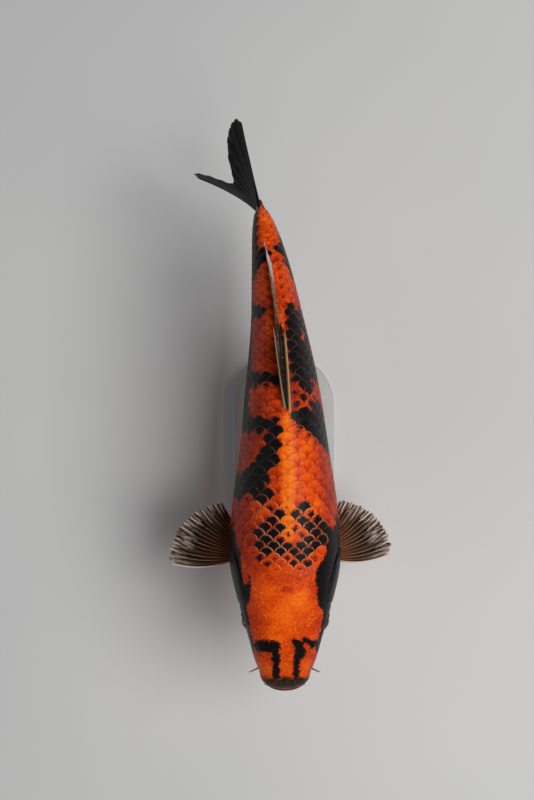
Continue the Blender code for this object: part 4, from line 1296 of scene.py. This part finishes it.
# ---- The back fin ----------------------------------------------------------------------------------
# One long web along the ridge from a tall front ray, half folded and leaning to the fish's right. It is
# dark at the front, mottled olive from the middle and pale grey at its end.
DORSAL_BASE = (275.0, 421.0)
DORSAL_FRONT_RAY = 92.0
DORSAL_REAR_RAY = 27.0
DORSAL_LEAN = math.radians(12.0)
DORSAL_RAYS, DORSAL_ROWS = 19, 40


def dorsal_sheet(k, t):
    """The web's middle, as for the pectoral fins, along the ridge."""
    along = DORSAL_BASE[0] + (DORSAL_BASE[1] - DORSAL_BASE[0]) * k
    root = body(along, 0.0, -FIN_SUNK)
    ahead = unit(body(along + 1, 0.0) - body(along - 1, 0.0))
    taller = (DORSAL_FRONT_RAY - DORSAL_REAR_RAY) * np.exp(-6.0 * k) * (1 - k)
    length = FIN_SUNK + DORSAL_REAR_RAY + taller
    pitch = np.radians(27 + 10 * k)[..., None]
    rise = np.array([-math.sin(DORSAL_LEAN), 0, math.cos(DORSAL_LEAN)])
    heading = ahead * np.cos(pitch) + rise * np.sin(pitch)
    return root + heading * (length * t)[..., None] + rise * bowed(t, 2.5)


def rear_tints(tree, colour):
    """The olive and the pale grey of the web's rear half over its own colour."""
    across = held(tree, "across")
    olive = blend(tree, uneven(tree, 2.5, 0.0, 1.0, 3), (0.08, 0.062, 0.040), (0.29, 0.23, 0.155))
    colour = blend(tree, ramp(tree, across, 0.50, 0.66, 0.0, 0.9), colour, olive)
    return blend(tree, ramp(tree, across, 0.78, 0.92), colour, (0.50, 0.46, 0.47))


fin = fin_mesh(
    "back_web", dorsal_sheet, DORSAL_RAYS, DORSAL_ROWS, seed=5, pleat=0.3, notch=0.012, fringe=0.004)
fin.data.materials.append(fin_material("back fin", (
    (0.075, 0.052, 0.030), (0.010, 0.009, 0.009), (0.26, 0.15, 0.06), (0.27, 0.19, 0.10),
), (3.5, 0.88, 0.7, 1.0), rear_tints))
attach(fin, "root")
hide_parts("dorsal_fin")

# ---- The anal fin ----------------------------------------------------------------------------------
# A short, steep web of the striped kind under the rear of the body, just ahead of the tail stalk. Its
# front ray is the longest.
ANAL_BASE = (388.0, 414.0)
ANAL_FRONT_RAY = 50.0
ANAL_RAYS, ANAL_ROWS = 7, 34


def anal_sheet(k, t):
    """The web's middle, as for the pectoral fins, along the belly."""
    along = ANAL_BASE[0] + (ANAL_BASE[1] - ANAL_BASE[0]) * k
    root = body(along, 180.0, -FIN_SUNK)
    ahead = unit(body(along + 1, 180.0) - body(along - 1, 180.0))
    length = FIN_SUNK + ANAL_FRONT_RAY * (1 - 0.62 * k + 0.12 * k**2)
    pitch = np.radians(48 - 14 * k)[..., None]
    heading = unit(ahead * np.cos(pitch) + np.array([-0.05, 0, 0]) - np.array([0, 0, 1.0]) * np.sin(pitch))
    return root + heading * (length * t)[..., None]


fin = fin_mesh("anal_web", anal_sheet, ANAL_RAYS, ANAL_ROWS, seed=6)
fin.data.materials.append(striped)
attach(fin, "root")
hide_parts("anal_fin")

# ---- The tail fin ----------------------------------------------------------------------------------
# A black forked fan of two lobes, standing upright on the end of the tail stalk. Its web sweeps round to
# the fish's right, the lower lobe further than the upper.
CAUDAL_EDGES = (91.0, 94.0)
CAUDAL_PITCH = (30.0, -31.5)
CAUDAL_FORK = 35.0
CAUDAL_SUNK = 4.0
CAUDAL_TURN = 52.0
CAUDAL_TURN_POWER = 0.2
CAUDAL_PARTS = 48
CAUDAL_RAYS, CAUDAL_ROWS = 21, 56


def caudal_sheet(k, t):
    """From the upper lobe's edge ray at 0, by the fork at a half, to the lower lobe's at 1."""
    lift = 1 - 2 * k
    share = np.abs(lift) * 0.994 + 0.006
    upper = lift > 0
    depth = np.where(upper, float(curve(BACK, BODY_LENGTH)), float(curve(BELLY, BODY_LENGTH))) - 2.5
    edge_length = np.where(upper, *CAUDAL_EDGES)
    length = CAUDAL_FORK + (edge_length - CAUDAL_FORK) * share**2 * (3 - 2 * share) + CAUDAL_SUNK
    length = length * (1 - 0.06 * ease(share, 0.86, 1.0) ** 2)
    pitch = np.radians(np.where(upper, *CAUDAL_PITCH) * share)
    turn = np.radians(CAUDAL_TURN) * np.sin(math.pi / 4 * (1 - np.sign(lift) * share))
    swing = math.atan(TAIL_SWING_POWER * TAIL_SWING / (BODY_LENGTH - TAIL_SWING_START))
    # The ray's turn is summed part by part from its root outwards.
    parts = np.arange(CAUDAL_PARTS)
    yaw = swing + turn[..., None] * ((parts + 0.5) / CAUDAL_PARTS) ** CAUDAL_TURN_POWER
    taken = np.clip(t[..., None] * CAUDAL_PARTS - parts, 0, 1) / CAUDAL_PARTS
    sideways, onwards = (np.sin(yaw) * taken).sum(-1), (np.cos(yaw) * taken).sum(-1)
    return axis(np.array(BODY_LENGTH)) + np.stack([
        -sideways * np.cos(pitch) * length,
        onwards * np.cos(pitch) * length - CAUDAL_SUNK,
        np.sin(pitch) * t * length + np.sign(lift) * share * depth,
    ], axis=-1)


fin = fin_mesh(
    "tail_web", caudal_sheet, CAUDAL_RAYS, CAUDAL_ROWS, seed=7, pleat=0.3, notch=0.014, fringe=0.005)
fin.data.materials.append(fin_material("tail fin", (
    (0.015, 0.008, 0.007), (0.0040, 0.0040, 0.0055), (0.008, 0.006, 0.006), (0.07, 0.050, 0.045),
), (6.0, 0.95, 0.6, 0.0)))
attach(fin, "root")
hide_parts("caudal_fin_upper", "caudal_fin_lower")

# ---- The stand's base ------------------------------------------------------------------------------
# A flat plate with round ends and softened edges, painted satin grey. It lies on the floor and carries
# both rods.
BASE_RADIUS = 55.0
BASE_STRAIGHT = 75.0
BASE_EDGE = 2.0
END_POINTS = 41
CAP_RADIUS = 20.0


def stacked(name, rings):
    """A closed piece over rings of points, one above another and closed flat at both ends."""
    size, total = len(rings[0]), sum(map(len, rings))
    caps = [list(range(size))[::-1], list(range(total - size, total))]
    return place_mesh(name, np.concatenate(rings), ring_quads(len(rings), size).tolist() + caps)


middle = middle_of("stand_base")
base_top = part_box("stand_base")[1][2] / MM
turn = np.linspace(0, math.pi, END_POINTS)
half_ring = np.stack([np.cos(turn), np.sin(turn)], axis=-1)
outline = np.concatenate([half_ring, -half_ring])
straight = np.repeat([BASE_STRAIGHT, -BASE_STRAIGHT], END_POINTS)
levels = [
    (BASE_RADIUS - BASE_EDGE * (1 - math.sin(bend)), BASE_EDGE * (1 - math.cos(bend)))
    for bend in np.linspace(0, math.pi / 2, 7)
]
levels = [(CAP_RADIUS, 0.0)] + levels
levels += [(radius, base_top - height) for radius, height in reversed(levels)]
base = stacked("display_base", [
    np.stack([
        middle[0] + outline[:, 0] * radius, middle[1] + outline[:, 1] * radius + straight,
        0 * straight + height,
    ], axis=-1) for radius, height in levels
])
material, tree, shader = new_material("base paint")
tint = blend(tree, uneven(tree, 60, 0.0, 1.0, 3), (0.40, 0.41, 0.415), (0.45, 0.455, 0.46))
dress(tree, shader, tint, uneven(tree, 8, 0.38, 0.50, 4), grain(tree, 0.6), strength=0.12, depth=0.3)
base.data.materials.append(material)
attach(base, "root")
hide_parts("stand_base")

# ---- The stand's rods ------------------------------------------------------------------------------
# Two round rods of brushed steel that are set in the base, one under the fish's chest and one under its
# belly. Their tops end inside the skin.
ROD_RADIUS = 4.4
ROD_TURNS = 40
ROD_TOP = 2.0
material, tree, shader = new_material("rod steel", roughness=0.3, metallic=1.0)
lengthways = node(tree, "ShaderNodeMapping", {"Vector": on_piece(tree), "Scale": (6.0, 6.0, 0.15)})
brushed = grain(tree, 2.0, 3, place=lengthways.outputs["Vector"])
dress(tree, shader, blend(tree, brushed, (0.50, 0.51, 0.53), (0.62, 0.63, 0.64)),
      ramp(tree, brushed, 0.3, 0.7, 0.24, 0.40))
for place in ("front", "rear"):
    middle = middle_of("stand_rod_" + place)
    low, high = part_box("stand_rod_" + place)
    foot, head = low[2] / MM, high[2] / MM + ROD_TOP
    turn = np.arange(ROD_TURNS) * (2 * math.pi / ROD_TURNS)
    rod = stacked("display_rod_" + place, [
        np.stack([
            middle[0] + ROD_RADIUS * np.cos(turn), middle[1] + ROD_RADIUS * np.sin(turn), 0 * turn + level,
        ], axis=-1) for level in [foot, *np.linspace(foot + 0.5, head, 12)]
    ])
    rod.data.materials.append(material)
    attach(rod, "root")
    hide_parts("stand_rod_" + place)

# ---- The studio ------------------------------------------------------------------------------------
# A plain pale floor under soft light from above the fish's left, from its right and from behind it, and a
# camera straight above it.
FLOOR_HALF = 15.0
FLOOR_DROP = 0.0002
floor_mesh = bpy.data.meshes.new("floor")
floor_mesh.from_pydata([
    (x * FLOOR_HALF, y * FLOOR_HALF, -FLOOR_DROP) for x, y in ((-1, -1), (1, -1), (1, 1), (-1, 1))
], [], [(0, 1, 2, 3)])
floor = bpy.data.objects.new("floor", floor_mesh)
bpy.context.scene.collection.objects.link(floor)
material, tree, shader = new_material("floor", roughness=0.9, specular=0.2)
dress(tree, shader, blend(tree, uneven(tree, 500, 0.0, 1.0), (0.63, 0.64, 0.65), (0.67, 0.675, 0.68)))
floor.data.materials.append(material)


def soft_light(name, place, target, width, power, tint=(1, 1, 1)):
    """A square light aimed at a place."""
    light = bpy.data.lights.new(name, "AREA")
    light.shape = "SQUARE"
    light.size = width
    light.energy = power
    light.color = tint
    lamp = bpy.data.objects.new(name, light)
    lamp.location = place
    x, y, z = np.array(target) - np.array(place)
    lamp.rotation_euler = (math.acos(-z / math.hypot(x, y, z)), 0.0, math.atan2(y, x) - math.pi / 2)
    bpy.context.scene.collection.objects.link(lamp)


soft_light("key", (0.95, -0.20, 1.90), (0, -0.1, 0.15), 1.4, 39.0, (1.0, 0.98, 0.95))
soft_light("fill", (-2.2, -0.6, 0.9), (0, 0, 0.15), 1.8, 7.0, (0.94, 0.97, 1.0))
soft_light("rear", (0.1, 2.4, 0.9), (0, 0, 0.15), 1.4, 3.0)
world = bpy.data.worlds.new("studio")
world.use_nodes = True
background = world.node_tree.nodes["Background"]
background.inputs["Color"].default_value = (0.86, 0.90, 0.95, 1)
background.inputs["Strength"].default_value = 0.10
bpy.context.scene.world = world
camera_data = bpy.data.cameras.new("camera")
camera_data.lens = 67.05
camera_data.sensor_width = 36.0
camera_data.clip_start = 0.05
camera = bpy.data.objects.new("camera", camera_data)
camera.location = (-0.018, 0.080, 1.642)
bpy.context.scene.collection.objects.link(camera)
bpy.context.scene.camera = camera
bpy.context.scene.view_settings.view_transform = "Standard"
